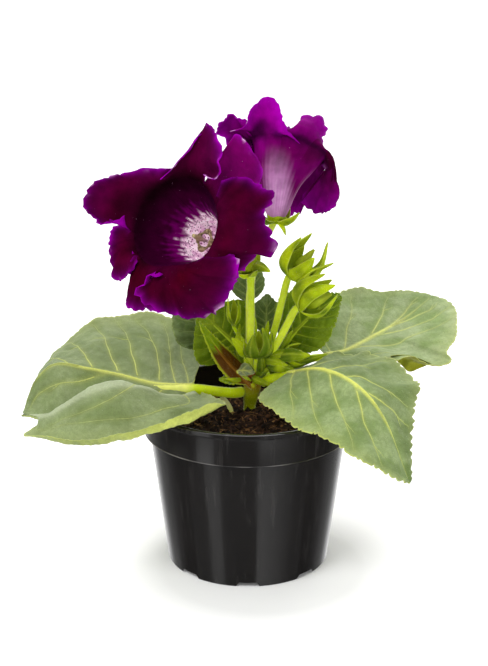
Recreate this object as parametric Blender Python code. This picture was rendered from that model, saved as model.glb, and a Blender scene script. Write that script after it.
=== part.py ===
"""Potted gloxinia (Sinningia speciosa) in a 12 cm nursery pot.

Metres, +Z up. The origin is on the ground at the pot's axis, and the plant faces -Y.
Every leaf, stalk, calyx, corolla and bud is a closed solid of its own, seated a hair's
breadth (SEAT_GAP) from what carries it. Lists of places are in millimetres, turned into
metres by mm().
"""

import math

import bmesh
import bpy
import numpy as np

MM = 0.001
SEAT_GAP = 0.3 * MM

# Pot: the driving dimensions of a 12 cm round nursery pot.
RIM_RADIUS = 60 * MM
POT_HEIGHT = 95 * MM
COLLAR_HEIGHT = 18.6 * MM
COLLAR_FOOT_RADIUS = 57.7 * MM
BODY_TOP_RADIUS = 54.8 * MM
FOOT_RADIUS = 45.3 * MM
FOOT_WIDTH = 3.0 * MM
WALL = 1.5 * MM
LIP_WIDTH = 3.2 * MM
LIP_HEIGHT = 2.2 * MM
FLOOR_HEIGHT = 3.0 * MM
STEP = 1 * MM  # the small slopes under the collar and under the lip
POT_SEGMENTS = 48
SOIL_SEGMENTS = 36
NOTCH_COUNT = 8
NOTCH_FOOT_WIDTH = 13.4 * MM
NOTCH_TOP_WIDTH = 9.8 * MM
NOTCH_HEIGHT = 2.5 * MM
DRAIN_COUNT = 8
DRAIN_RADIUS = 4.0 * MM
DRAIN_CIRCLE = 30 * MM

# Soil: level round the edge and mounded at the stem.
SOIL_EDGE_HEIGHT = 78.5 * MM
SOIL_CENTRE_HEIGHT = 84.5 * MM
SOIL_CLEARANCE = 0.8 * MM

# Stem: it leans a little back from the pot's axis and ends in a broad crown.
STEM_PATH = [(0.5, 8, 76), (1, 8, 88), (2.4, 8, 98), (3, 8, 108)]
STEM_RADII = [3.4, 3.2, 4.6, 5.8]
STUB_RADIUS = 1.4

LEAF_THICKNESS = 1.2 * MM
PETAL_THICKNESS = 0.9 * MM
SEPAL_THICKNESS = 0.9 * MM
FILAMENT_FOOT = 1.8 * MM
ANTHER_STEPS = 16
ANTHER_SIDES = 5
LOBE_BEND = 0.42  # share of a lobe over which it bends away from the bell's wall
MOUTH_SLOPE = 55  # degrees between the bell's wall and its axis at the mouth

COLOURS = {
    "pot_plastic": ((0.03, 0.029, 0.029), 0.3),
    "potting_soil": ((0.05, 0.028, 0.016), 0.95),
    "leaf_green": ((0.24, 0.33, 0.13), 0.6),
    "young_leaf_green": ((0.13, 0.24, 0.01), 0.55),
    "stalk_green": ((0.32, 0.4, 0.03), 0.5),
    "petal_purple": ((0.1, 0.0, 0.05), 0.6),
    "pollen_cream": ((0.6, 0.5, 0.35), 0.7),
}


# ---------------------------------------------------------------- helpers


def mm(points):
    """Places in millimetres as an array in metres."""
    return np.array(points, float) * MM


def unit(vector):
    return np.asarray(vector, float) / np.linalg.norm(vector)


def ease(x):
    """0 to 1 with level ends."""
    x = np.clip(x, 0.0, 1.0)
    return x * x * (3 - 2 * x)


def smooth(points, count, crowd=1.0):
    """count points along a Catmull-Rom curve through points, evenly spaced by length.

    crowd above 1 gathers them towards the start.
    """
    points = np.asarray(points, float)
    padded = np.vstack([2 * points[0] - points[1], points, 2 * points[-1] - points[-2]])
    dense = []
    for a, b, c, d in zip(padded, padded[1:], padded[2:], padded[3:]):
        for t in np.linspace(0, 1, 24, endpoint=False):
            dense.append(
                0.5 * (2 * b + (c - a) * t + (2 * a - 5 * b + 4 * c - d) * t**2
                       + (3 * b - a - 3 * c + d) * t**3)
            )
    dense.append(points[-1])
    dense = np.array(dense)
    length = np.append(0, np.cumsum(np.linalg.norm(np.diff(dense, axis=0), axis=1)))
    wanted = np.linspace(0, 1, count) ** crowd * length[-1]
    return np.column_stack([np.interp(wanted, length, dense[:, i]) for i in range(3)])


def frames(path):
    """(tangents, sides, ups) along a path, turned as little as possible."""
    tangents = np.gradient(path, axis=0)
    tangents /= np.linalg.norm(tangents, axis=1)[:, None]
    start = np.array([1.0, 0, 0]) if abs(tangents[0][0]) < 0.8 else np.array([0, 1.0, 0])
    sides = []
    for tangent in tangents:
        start = unit(start - tangent * start.dot(tangent))
        sides.append(start)
    sides = np.array(sides)
    return tangents, sides, np.cross(tangents, sides)


def material(name):
    found = bpy.data.materials.get(name)
    if found:
        return found
    colour, roughness = COLOURS[name]
    made = bpy.data.materials.new(name)
    made.use_nodes = True
    shader = made.node_tree.nodes["Principled BSDF"]
    shader.inputs["Base Color"].default_value = (*colour, 1.0)
    shader.inputs["Roughness"].default_value = roughness
    shader.inputs["Metallic"].default_value = 0.0
    return made


def add_object(name, vertices, faces, colour, weld=0.02 * MM):
    """A smooth-shaded mesh object whose faces point out."""
    mesh = bpy.data.meshes.new(name)
    mesh.from_pydata([tuple(v) for v in vertices], [], [list(f) for f in faces])
    shape = bmesh.new()
    shape.from_mesh(mesh)
    bmesh.ops.remove_doubles(shape, verts=shape.verts, dist=weld)
    bmesh.ops.dissolve_degenerate(shape, edges=shape.edges, dist=weld)
    bmesh.ops.recalc_face_normals(shape, faces=shape.faces)
    shape.to_mesh(mesh)
    shape.free()
    mesh.shade_smooth()
    mesh.materials.append(material(colour))
    made = bpy.data.objects.new(name, mesh)
    bpy.context.scene.collection.objects.link(made)
    return made


def hidden(helper):
    """Marks an object as a construction helper, not a piece of the part."""
    helper.hide_render = True
    helper.display_type = "WIRE"
    return helper


def combine(target, helper, operation):
    modifier = target.modifiers.new(f"{operation.lower()}_{helper.name}", "BOOLEAN")
    modifier.operation = operation
    modifier.solver = "EXACT"
    modifier.use_self = operation == "UNION"
    modifier.object = hidden(helper)


def thicken(target, thickness):
    modifier = target.modifiers.new("thickness", "SOLIDIFY")
    modifier.thickness = thickness
    modifier.offset = 0.0


def grid_faces(rows, columns, wrap=False):
    """Quads of a grid of points, numbered row by row."""
    faces = []
    for row in range(rows - 1):
        for column in range(columns if wrap else columns - 1):
            after = (column + 1) % columns
            low, high = row * columns, (row + 1) * columns
            faces.append((low + column, low + after, high + after, high + column))
    return faces


def tube_parts(path, radii, sides):
    """(points, faces) of a round closed tube, its radii spread evenly along the path."""
    path = np.asarray(path, float)
    _, side, up = frames(path)
    radius = np.interp(np.linspace(0, 1, len(path)), np.linspace(0, 1, len(radii)), radii)
    turn = np.linspace(0, 2 * math.pi, sides, endpoint=False)
    points = [
        centre + r * (math.cos(a) * s + math.sin(a) * u)
        for centre, r, s, u in zip(path, radius, side, up)
        for a in turn
    ]
    faces = grid_faces(len(path), sides, wrap=True)
    faces.append(list(range(sides)))
    faces.append([(len(path) - 1) * sides + i for i in reversed(range(sides))])
    return points, faces


def tube(name, places, radii, colour, rings=8, sides=10):
    path = smooth(mm(places), rings)
    return add_object(name, *tube_parts(path, np.array(radii) * MM, sides), colour)


def revolve(name, profile, segments, colour):
    """A solid turned from (radius, height) points that start and end on the axis."""
    points = []
    for radius, height in profile:
        for turn in np.linspace(0, 2 * math.pi, segments, endpoint=False):
            points.append((radius * math.cos(turn), radius * math.sin(turn), height))
    return add_object(name, points, grid_faces(len(profile), segments, wrap=True), colour)


# ---------------------------------------------------------------- pot and soil


def inner_radius(height):
    """The pot's inside radius at a height on its tapered body or its collar."""
    collar_foot = POT_HEIGHT - COLLAR_HEIGHT
    if height < collar_foot:
        share = (height - FLOOR_HEIGHT) / (collar_foot - FLOOR_HEIGHT)
        outer = FOOT_RADIUS + share * (BODY_TOP_RADIUS - FOOT_RADIUS)
    else:
        share = (height - collar_foot) / COLLAR_HEIGHT
        outer = COLLAR_FOOT_RADIUS + share * (RIM_RADIUS - STEP - COLLAR_FOOT_RADIUS)
    return outer - WALL


def pot_profile():
    collar_foot = POT_HEIGHT - COLLAR_HEIGHT
    lip_foot = POT_HEIGHT - LIP_HEIGHT
    lip_middle = RIM_RADIUS - LIP_WIDTH / 2
    lip = [
        (lip_middle + LIP_WIDTH / 2 * math.cos(a), lip_foot + LIP_HEIGHT * math.sin(a))
        for a in np.linspace(0, math.pi, 5)
    ]
    return [
        (0, FLOOR_HEIGHT),
        (FOOT_RADIUS - FOOT_WIDTH, FLOOR_HEIGHT),
        (FOOT_RADIUS - FOOT_WIDTH, 0),
        (FOOT_RADIUS, 0),
        (BODY_TOP_RADIUS, collar_foot - STEP),
        (COLLAR_FOOT_RADIUS, collar_foot),
        (RIM_RADIUS - STEP, lip_foot - STEP),
        *lip,
        (inner_radius(lip_foot - STEP), lip_foot - STEP),
        (inner_radius(collar_foot + 2 * STEP), collar_foot + 2 * STEP),
        (inner_radius(collar_foot - STEP), collar_foot - STEP),
        (inner_radius(FLOOR_HEIGHT + WALL), FLOOR_HEIGHT + WALL),
        (0, FLOOR_HEIGHT + WALL),
    ]


def foot_notches():
    """One cutter for the trapezoid notches round the foot's edge."""
    shape = bmesh.new()
    depth = FOOT_WIDTH * 3
    low, high = -1 * MM, NOTCH_HEIGHT
    half_low = NOTCH_FOOT_WIDTH / 2 + 0.7 * MM
    half_high = NOTCH_TOP_WIDTH / 2
    corners = [(-half_low, low), (half_low, low), (half_high, high), (-half_high, high)]
    for index in range(NOTCH_COUNT):
        turn = 2 * math.pi * index / NOTCH_COUNT - math.pi / 2
        out = np.array([math.cos(turn), math.sin(turn), 0])
        along = np.array([-math.sin(turn), math.cos(turn), 0])
        ends = []
        for reach in (FOOT_RADIUS - FOOT_WIDTH * 1.5, FOOT_RADIUS - FOOT_WIDTH * 1.5 + depth):
            ends.append([
                shape.verts.new(out * reach + along * x + np.array([0, 0, z]))
                for x, z in corners
            ])
        inner, outer = ends
        shape.faces.new(inner)
        shape.faces.new(outer[::-1])
        for a in range(4):
            b = (a + 1) % 4
            shape.faces.new((inner[a], inner[b], outer[b], outer[a]))
    bmesh.ops.recalc_face_normals(shape, faces=shape.faces)
    mesh = bpy.data.meshes.new("foot_notch_cutter")
    shape.to_mesh(mesh)
    shape.free()
    made = bpy.data.objects.new("foot_notch_cutter", mesh)
    bpy.context.scene.collection.objects.link(made)
    return made


def drain_holes():
    """One cutter for the ring of drain holes in the pot's floor."""
    shape = bmesh.new()
    for index in range(DRAIN_COUNT):
        turn = 2 * math.pi * (index + 0.5) / DRAIN_COUNT
        made = bmesh.ops.create_cone(
            shape, cap_ends=True, segments=16, radius1=DRAIN_RADIUS, radius2=DRAIN_RADIUS,
            depth=10 * MM,
        )
        where = (DRAIN_CIRCLE * math.cos(turn), DRAIN_CIRCLE * math.sin(turn), FLOOR_HEIGHT)
        bmesh.ops.translate(shape, verts=made["verts"], vec=where)
    mesh = bpy.data.meshes.new("drain_hole_cutter")
    shape.to_mesh(mesh)
    shape.free()
    made = bpy.data.objects.new("drain_hole_cutter", mesh)
    bpy.context.scene.collection.objects.link(made)
    return made


def build_pot():
    pot = revolve("pot", pot_profile(), POT_SEGMENTS, "pot_plastic")
    combine(pot, foot_notches(), "DIFFERENCE")
    combine(pot, drain_holes(), "DIFFERENCE")


def build_soil():
    floor = FLOOR_HEIGHT + WALL + SEAT_GAP
    collar_foot = POT_HEIGHT - COLLAR_HEIGHT
    profile = [
        (0, floor),
        (inner_radius(floor) - SOIL_CLEARANCE, floor),
        (inner_radius(collar_foot - STEP) - SOIL_CLEARANCE, collar_foot - STEP),
        (inner_radius(SOIL_EDGE_HEIGHT) - SOIL_CLEARANCE - STEP, SOIL_EDGE_HEIGHT),
    ]
    for share in (0.85, 0.65, 0.45, 0.25, 0.12):
        rise = (SOIL_CENTRE_HEIGHT - SOIL_EDGE_HEIGHT) * (1 - share) ** 0.8
        profile.append((inner_radius(SOIL_EDGE_HEIGHT) * share, SOIL_EDGE_HEIGHT + rise))
    profile.append((0, SOIL_CENTRE_HEIGHT))
    soil = revolve("potting_soil", profile, SOIL_SEGMENTS, "potting_soil")
    path = mm(STEM_PATH)
    socket = add_object(
        "stem_socket_cutter",
        *tube_parts(
            [path[0] - (0, 0, SEAT_GAP), path[1]],
            [STEM_RADII[0] * MM + SEAT_GAP, STEM_RADII[1] * MM + SEAT_GAP], 12,
        ),
        "potting_soil",
    )
    combine(soil, socket, "DIFFERENCE")
    stub = tube("stub_socket_cutter", [(-9.4, 5.5, 79), (-9.6, 5, 83), (-10, 4.6, 90)],
                [STUB_RADIUS + 0.3] * 2, "potting_soil", rings=3, sides=8)
    combine(soil, stub, "DIFFERENCE")


# ---------------------------------------------------------------- leaves


def blade_rows(rib, left, right, stations, across):
    """Rows of points over a blade, from the left margin over the midrib to the right.

    left and right each list their rails from the midrib outwards, the last being the margin.
    """
    rib = smooth(mm(rib), stations, crowd=1.35)
    halves = []
    for rails in (left, right):
        rails = [smooth(mm(rail), stations) for rail in rails]
        halves.append([smooth(row, across + 1) for row in zip(rib, *rails)])
    return [np.vstack([a[:0:-1], b]) for a, b in zip(*halves)]


def leaf(name, petiole, rib, left, right, radius, stations=13, across=4, rib_rings=12,
         colour="leaf_green"):
    """A leaf in one piece: a blade of even thickness joined to its petiole and midrib."""
    rows = blade_rows(rib, left, right, stations, across)
    blade = add_object(
        name, np.vstack(rows), grid_faces(stations, 2 * across + 1), colour, weld=0.3 * MM
    )
    thicken(blade, LEAF_THICKNESS)
    under = [(x, y, z - 0.5) for x, y, z in rib[: max(3, len(rib) - 2)]]
    vein = tube(name + "_rib", petiole + under, [radius, radius, radius * 0.7, 0.6],
                colour, rings=rib_rings, sides=7)
    combine(blade, vein, "UNION")


def small_leaf(name, petiole, tip, width, face, arch=0.12, cup=0.15, radius=1.3,
               colour="young_leaf_green", stations=7, across=2):
    """An ovate young leaf: petiole's last place to tip, its upper side towards face."""
    start, end = np.array(petiole[-1], float), np.array(tip, float)
    length = np.linalg.norm(end - start)
    side = unit(np.cross(end - start, face))
    out = unit(np.cross(side, end - start))
    rib, left, right = [], [], []
    for t in np.linspace(0, 1, 7):
        middle = start + (end - start) * t + out * arch * length * math.sin(math.pi * t)
        half = width / 2 * (math.sin(math.pi * t**0.8) + 0.06)
        raised = out * cup * half
        rib.append(middle)
        left.append(middle - side * half + raised)
        right.append(middle + side * half + raised)
    leaf(name, petiole, [tuple(p) for p in rib], [left], [right], radius,
         stations=stations, across=across, rib_rings=8, colour=colour)


def build_large_leaves():
    leaf(
        "leaf_left",
        petiole=[(-3.2, 6.4, 95), (-9, 2, 96), (-22, -2, 99)],
        rib=[(-31, -4, 103), (-51, -7, 105), (-71, -9, 111), (-88, -10, 115),
             (-105, -12, 118), (-116, -18, 110), (-122, -26, 95)],
        left=[
            [(-29, -8, 100), (-40, -18, 101), (-53, -24, 106), (-75, -30, 111),
             (-92, -34, 107), (-108, -34, 99), (-121.5, -28, 94.5)],
            [(-26, -10, 99), (-22, -42, 102), (-40, -50, 98), (-64, -56, 93),
             (-85, -58, 88), (-105, -48, 87), (-121, -29, 94)],
            [(-25, -8, 100), (-11, -38, 105), (-21, -47, 109), (-38, -55, 106),
             (-60, -61, 99), (-85, -62, 90), (-104, -56, 88), (-116, -44, 88),
             (-120.5, -29.5, 94)],
        ],
        right=[
            [(-30, -2, 104), (-27, 25, 107), (-30, 46, 112), (-38, 60, 119),
             (-57, 66, 123), (-73, 62, 122), (-89, 55, 122), (-105, 36, 115),
             (-116, 6, 106), (-122.5, -22, 95)],
        ],
        radius=2.6,
        stations=13,
    )
    leaf(
        "leaf_right_front",
        petiole=[(8.6, 3.9, 102.5), (14, -0.5, 106)],
        rib=[(23, -6, 112), (41, -20, 118.5), (59, -38, 115), (73, -56, 101),
             (84, -76, 76)],
        left=[
            [(25, -3, 112), (41, 6, 114), (49, 14, 117), (67, 10, 118), (81, 0, 117),
             (93, -20, 109), (88, -42, 99), (85, -58, 88), (84.5, -74, 76.5)],
        ],
        right=[
            [(20, -9, 111), (6, -26, 105), (14, -45, 104), (27, -64, 101),
             (38, -74, 101), (55, -86, 95), (71, -86, 85), (83.5, -77, 76)],
        ],
        radius=2.3,
        stations=12,
    )
    leaf(
        "leaf_right_back",
        petiole=[(7.6, 11, 98), (22, 22, 99), (40, 32, 102)],
        rib=[(57, 40, 107), (81, 60, 114), (103, 76, 121), (118, 84, 126)],
        left=[
            [(57, 40, 107), (46, 58, 112), (45, 76, 122), (56, 84, 128),
             (75, 88, 130), (98, 88, 129), (117, 85, 126.5)],
        ],
        right=[
            [(57, 40, 107), (60, 20, 107.4), (77, 14, 109), (91, 12, 107.5),
             (108, 15, 107), (117, 24, 109), (122, 46, 118), (123, 66, 123),
             (119, 83, 126)],
        ],
        radius=2.2,
        stations=12,
    )


def build_young_leaves():
    small_leaf("leaf_upper_right", [(8.0, 13.2, 105), (13, 17, 109), (19, 19, 117)],
               (52, 26, 146), 38, (-0.45, -0.75, 0.45))
    small_leaf("leaf_upper_left", [(-0.4, 14.2, 105), (-1, 19, 109), (-1, 22, 117)],
               (-27, 26, 136), 30, (0.25, -0.9, 0.3), arch=0.06)
    small_leaf("leaf_folded", [(-3.6, 7.8, 103), (-8, 7, 107), (-12, 7, 114)],
               (-27, 5, 137), 10, (0.35, 0.4, 0.85), cup=0.4, radius=1.4)
    small_leaf("leaf_behind_stalks", [(2.5, 14, 103), (2, 24, 116), (0, 29, 140)],
               (-1, 33, 168), 18, (0.1, -0.9, 0.3), radius=1.2, colour="leaf_green")
    small_leaf("leaf_back_right", [(6, 13.4, 101), (9, 25, 108), (10, 32, 121)],
               (12, 40, 150), 22, (0.0, -0.9, 0.35), radius=1.3, colour="leaf_green")
    small_leaf("leaf_back_left", [(-2, 12.2, 99), (-10, 24, 104), (-20, 34, 112)],
               (-42, 42, 140), 34, (0.35, -0.8, 0.5), radius=1.4, colour="leaf_green")
    small_leaf("leaflet_front", [(1, 2.2, 103), (-1, 0, 105), (-4, -2, 107)],
               (2, -8, 104), 9, (0.1, -0.5, 0.8), radius=0.9)
    small_leaf("leaflet_left", [(-2.6, 5.2, 100.2), (-5, 3.5, 101), (-8, 2, 102)],
               (-16, 0, 105), 7, (0.1, -0.6, 0.8), radius=0.8)


# ---------------------------------------------------------------- flowers


def sepal_cup(name, places, radii, split, turn, colour="young_leaf_green", keel=0.16,
              rows=7, columns=5):
    """A calyx: five keeled sepals, one cup up to split and free with pointed tips after.

    places run along the calyx's middle from the stalk to the tips, radii go with them.
    """
    path = smooth(mm(places), rows)
    _, side, up = frames(path)
    radius = np.interp(np.linspace(0, 1, rows), np.linspace(0, 1, len(radii)), radii) * MM
    points, faces = [path[0]], []
    for sepal in range(5):
        middle = turn + 2 * math.pi * sepal / 5
        first = len(points)
        for row in range(rows):
            t = row / (rows - 1)
            slim = 1 - ease((t - split) / (1 - split)) ** 0.9 * 0.93
            for u in np.linspace(-1, 1, columns):
                angle = middle + u * slim * math.pi / 5
                reach = radius[row] * (1 + keel * (1 - abs(u)) * math.sin(math.pi * t))
                points.append(
                    path[row] + reach * (math.cos(angle) * side[row]
                                         + math.sin(angle) * up[row])
                )
        faces += [[first + i for i in face] for face in grid_faces(rows, columns)]
        faces += [(0, first + i + 1, first + i) for i in range(columns - 1)]
    cup = add_object(name, points, faces, colour)
    thicken(cup, SEPAL_THICKNESS)


def mouth_frame(throat):
    """(axis, right, up) of a corolla at its mouth; up leans to +Z, right is level."""
    path = smooth(mm(throat), 12)
    axis = unit(path[-1] - path[-2])
    right = unit(np.cross((0, 0, 1), axis))
    return path[-1], axis, right, np.cross(axis, right)


def lobe_rows(ring, centre, axis, edge, mouth_slope, rows):
    """Rows of points of one petal lobe, from its arc of the mouth out to its edge.

    The lobe leaves the throat along the bell's wall and bends over to reach its edge.
    """
    edge = smooth(mm(edge), len(ring))
    radial = (ring - centre) / np.linalg.norm(ring - centre, axis=1)[:, None]
    wall = math.cos(mouth_slope) * axis + math.sin(mouth_slope) * radial
    bend = ring + wall * LOBE_BEND * np.linalg.norm(edge - ring, axis=1)[:, None]
    return [
        (1 - s) ** 2 * ring + 2 * s * (1 - s) * bend + s**2 * edge
        for s in np.linspace(0, 1, rows)
    ]


def corolla(name, throat, radii, lobes, bell_rows=6, lobe_columns=7, rows=5):
    """A bell-shaped corolla in one piece: a curved throat that opens into petal lobes.

    lobes are (from angle, to angle, edge), turning round the mouth from its right side.
    """
    path = smooth(mm(throat), bell_rows)
    centre, axis, right, _ = mouth_frame(throat)
    radius = np.interp(np.linspace(0, 1, bell_rows), np.linspace(0, 1, len(radii)), radii)
    radius = radius * MM
    tangents = frames(path)[0]
    points, faces = [path[0]], []
    for start, end, edge in lobes:
        first = len(points)
        angles = np.radians(np.linspace(start, end, lobe_columns))
        for row in range(bell_rows):
            level = unit(right - tangents[row] * right.dot(tangents[row]))
            rise = np.cross(tangents[row], level)
            for angle in angles:
                points.append(path[row] + radius[row] * (math.cos(angle) * level
                                                         + math.sin(angle) * rise))
        ring = np.array(points[-lobe_columns:])
        for row in lobe_rows(ring, centre, axis, edge, math.radians(MOUTH_SLOPE), rows)[1:]:
            points.extend(row)
        count = bell_rows + rows - 1
        faces += [[first + i for i in face] for face in grid_faces(count, lobe_columns)]
        faces += [(0, first + i + 1, first + i) for i in range(lobe_columns - 1)]
    made = add_object(name, points, faces, "petal_purple", weld=0.05 * MM)
    thicken(made, PETAL_THICKNESS)


def pistil(name, throat, reach, radius):
    """The style and its stigma, on the middle line of the throat."""
    path = smooth(mm(throat), 20)
    foot = path[0] + unit(path[1] - path[0]) * (PETAL_THICKNESS / 2 + SEAT_GAP)
    inside = np.vstack([foot, path[2 : int(20 * reach)]])
    radii = [radius] * 7 + [radius * 2.1, radius * 1.2]
    add_object(name, *tube_parts(smooth(inside, 9), radii, 8), "pollen_cream")


def stamens(name, throat, reach, spread, radius):
    """Four filaments and their anthers, joined in a ring round the style."""
    path = smooth(mm(throat), 20)
    path[0] += unit(path[1] - path[0]) * (PETAL_THICKNESS / 2 + SEAT_GAP)
    ahead, side, up = frames(path)
    last = int(20 * reach) - 1
    made = None
    for index in range(4):
        turn = math.pi * (index + 0.5) / 2
        places = []
        for i in [0, *range(2, last + 1)]:
            out = FILAMENT_FOOT + (spread - FILAMENT_FOOT) * math.sin(math.pi / 2 * i / last)
            places.append(path[i] + out * (math.cos(turn) * side[i] + math.sin(turn) * up[i]))
        filament = add_object(
            f"{name}_filament_{index}", *tube_parts(smooth(places, 6), [radius] * 6, 5),
            "pollen_cream",
        )
        if made is None:
            made = filament
            made.name = name
        else:
            combine(made, filament, "UNION")
    ring = []
    fat = radius * 2.2
    for turn in np.linspace(0, 2 * math.pi, ANTHER_STEPS, endpoint=False):
        across = math.cos(turn) * side[last] + math.sin(turn) * up[last]
        lobed = spread + 0.5 * MM * math.cos(4 * turn + math.pi)
        for around in np.linspace(0, 2 * math.pi, ANTHER_SIDES, endpoint=False):
            ring.append(path[last] + across * (lobed + fat * math.cos(around))
                        + ahead[last] * fat * math.sin(around))
    faces = []
    for step in range(ANTHER_STEPS):
        here, there = step * ANTHER_SIDES, (step + 1) % ANTHER_STEPS * ANTHER_SIDES
        for a in range(ANTHER_SIDES):
            b = (a + 1) % ANTHER_SIDES
            faces.append((here + a, here + b, there + b, there + a))
    combine(made, add_object(f"{name}_anthers", ring, faces, "pollen_cream"), "UNION")


FLOWER_1_THROAT = [(0.6, 3.6, 170.5), (-10, -3, 180), (-25, -17, 190), (-37, -34, 200)]
FLOWER_1_RADII = [3, 6.5, 8.5, 11, 14.5, 19.5, 26]
FLOWER_1_LOBES = [
    (-40, 40, [(-13, -52, 187), (-3, -56, 183), (7, -58, 190), (15, -58, 197),
               (9, -56, 212), (14, -56, 222), (7, -54, 226), (-2, -50, 230),
               (-13, -46, 227)]),
    (40, 65, [(1, -28, 218), (8, -18, 221), (7, -15, 230), (1, -16, 239), (-5, -20, 246),
              (-10, -24, 239), (-14, -30, 229)]),
    (65, 120, [(-22, -50, 231), (-16, -54, 231), (-12, -52, 235), (-13, -46, 242),
               (-14, -36, 250), (-20, -32, 253), (-28, -30, 242), (-36, -26, 232),
               (-45, -26, 224)]),
    (120, 195, [(-39, -22, 228), (-53, -18, 227), (-69, -16, 223), (-79, -16, 220),
                (-86, -20, 211), (-84, -24, 204), (-73, -28, 199), (-64, -26, 204)]),
    (195, 225, [(-65, -24, 199), (-71, -24, 196), (-72, -26, 184), (-70, -30, 170),
                (-61, -36, 175), (-60, -34, 184)]),
    (225, 262, [(-60, -30, 186), (-60, -34, 174), (-65, -38, 160), (-56, -42, 158),
                (-48, -44, 161), (-41, -44, 173)]),
    (262, 320, [(-43, -50, 179), (-54, -56, 175), (-55, -58, 170), (-46, -58, 162),
                (-35, -56, 159), (-25, -58, 156), (-15, -60, 162), (-9, -60, 171),
                (-5, -62, 180), (-4, -64, 189), (-10, -60, 194), (-22, -52, 189)]),
]
FLOWER_2_THROAT = [(15.4, 25.0, 190.1), (16, 27, 201), (18, 31, 215), (22, 38, 228)]
FLOWER_2_RADII = [3, 6.5, 8.5, 11, 14, 17, 20]
FLOWER_2_LOBES = [
    (-20, 40, [(-4, 34, 226), (-14, 36, 232), (-19, 40, 238), (-15, 42, 245),
               (-8, 40, 247), (-1, 34, 245)]),
    (40, 105, [(-10, 22, 241), (-2, 24, 245), (4, 26, 253), (10, 26, 257), (16, 24, 254),
               (19, 20, 246), (28, 18, 235)]),
    (105, 150, [(21, 34, 241), (27, 40, 240), (33, 44, 244), (40, 42, 245), (42, 40, 239),
                (41, 40, 230)]),
    (150, 215, [(41, 42, 231), (44, 44, 220), (43, 44, 212), (45, 42, 201), (47, 40, 194),
                (41, 42, 190), (35, 46, 190), (30, 50, 195)]),
    (215, 285, [(31, 52, 199), (30, 52, 190), (24, 56, 185), (18, 58, 184), (14, 56, 193)]),
    (285, 340, [(8, 50, 200), (-5, 46, 207), (-11, 40, 216), (-7, 34, 226)]),
]


def build_flowers():
    tube("flower_1_stalk", [(0.8, 4.9, 108.7), (1.2, 4.4, 124), (1.6, 4.4, 146), (1.2, 4.6, 166)],
         [2.0, 2.0, 2.1], "stalk_green", rings=8)
    sepal_cup("flower_1_calyx", [(1.1, 4.5, 167.7), (0.2, 3.4, 170.3), (-3, 1.6, 178)],
              [2.2, 6.6, 9.2, 11, 13.2], 0.3, 0.4, columns=3)
    corolla("flower_1_corolla", FLOWER_1_THROAT, FLOWER_1_RADII, FLOWER_1_LOBES)
    pistil("flower_1_pistil", FLOWER_1_THROAT, 0.75, 0.8 * MM)
    stamens("flower_1_stamens", FLOWER_1_THROAT, 0.6, 4.4 * MM, 0.5 * MM)

    tube("flower_2_stalk", [(0.2, 9.8, 108.7), (-1, 11.5, 125), (-1.2, 14, 150), (5, 19, 172),
                            (14.2, 24.2, 186.0)],
         [1.8, 1.8, 1.9], "stalk_green", rings=12)
    sepal_cup("flower_2_calyx", [(15.2, 24.9, 187.7), (15.6, 25.2, 190.5), (17, 26.4, 199)],
              [2.2, 5.8, 8.6, 10.6, 13.2], 0.3, 0.2, columns=3)
    corolla("flower_2_corolla", FLOWER_2_THROAT, FLOWER_2_RADII, FLOWER_2_LOBES)
    pistil("flower_2_pistil", FLOWER_2_THROAT, 0.75, 0.8 * MM)
    stamens("flower_2_stamens", FLOWER_2_THROAT, 0.6, 4.2 * MM, 0.5 * MM)


def bud(name, stalk, stalk_radius, tip, width, turn, core=True):
    """A closed bud on its stalk: five keeled sepals round the unopened petals."""
    tube(f"{name}_stalk", stalk, [stalk_radius] * 2, "stalk_green", rings=7,
         sides=8 if core else 6)
    end, before, tip = (np.array(place, float) for place in (stalk[-1], stalk[-2], tip))
    along = tip - end
    tilt = np.linalg.norm(np.cross(unit(end - before), unit(along)))
    foot = end + unit(along) * (0.9 + stalk_radius * tilt)
    half = width / 2
    sepal_cup(f"{name}_calyx", [foot, foot + along * 0.5, tip],
              [1.6, half * 0.86, half, half * 0.8, half * 0.5, half * 0.5], 0.45, turn,
              keel=0.3, rows=7 if core else 6, columns=5 if core else 3)
    if core:
        inner = [foot + unit(along) * 0.85, *(foot + along * t for t in (0.3, 0.55, 0.8))]
        tube(f"{name}_petals", inner, [1.0, half * 0.55, half * 0.45, 0.8],
             "petal_purple", rings=7, sides=8)


def build_buds():
    bud("bud_upper", [(6.6, 11, 108.7), (11, 11.8, 117), (16, 12, 135), (21.6, 12, 158.6)],
        2.0, (40, 11, 181), 16, 0.3)
    bud("bud_front", [(6.6, 5.4, 108.7), (12, 2, 118), (19, -1, 132), (25.5, -2, 145.5)],
        2.1, (50, -5, 158), 17, 0.9)
    bud("bud_small_centre", [(3.6, 2.6, 108.9), (4, 0, 112), (4.4, -1.5, 116)],
        1.1, (4.5, -1, 128), 7.5, 0.2, core=False)
    bud("bud_small_right", [(9.7, 9, 106), (14, 7.5, 110), (19, 5, 116)],
        1.1, (33, 3, 124), 8, 0.5, core=False)
    bud("bud_small_back", [(3.0, 13.4, 108.9), (-1.6, 17, 119), (-7.6, 14.5, 130)],
        1.0, (-8.4, 13, 145), 6.5, 0.1, core=False)


def build_stem():
    tube("main_stem", STEM_PATH, STEM_RADII, "stalk_green", rings=8, sides=14)
    tube("old_petiole_stub", [(-9.4, 5.5, 79.8), (-9.6, 5, 84), (-12, 4, 90), (-15, 3.4, 93)],
         [STUB_RADIUS, STUB_RADIUS, STUB_RADIUS * 0.7], "stalk_green", rings=7, sides=8)


def main():
    for old in list(bpy.data.objects):
        bpy.data.objects.remove(old)
    build_pot()
    build_soil()
    build_stem()
    build_large_leaves()
    build_young_leaves()
    build_flowers()
    build_buds()


main()
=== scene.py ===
"""Potted gloxinia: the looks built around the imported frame.

Every piece follows the same curves as its CAD node, sampled finely, with veins, frills,
hairs and soil added, and is set to the node's own box. Lists of places are in millimetres.
"""

import math

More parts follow.
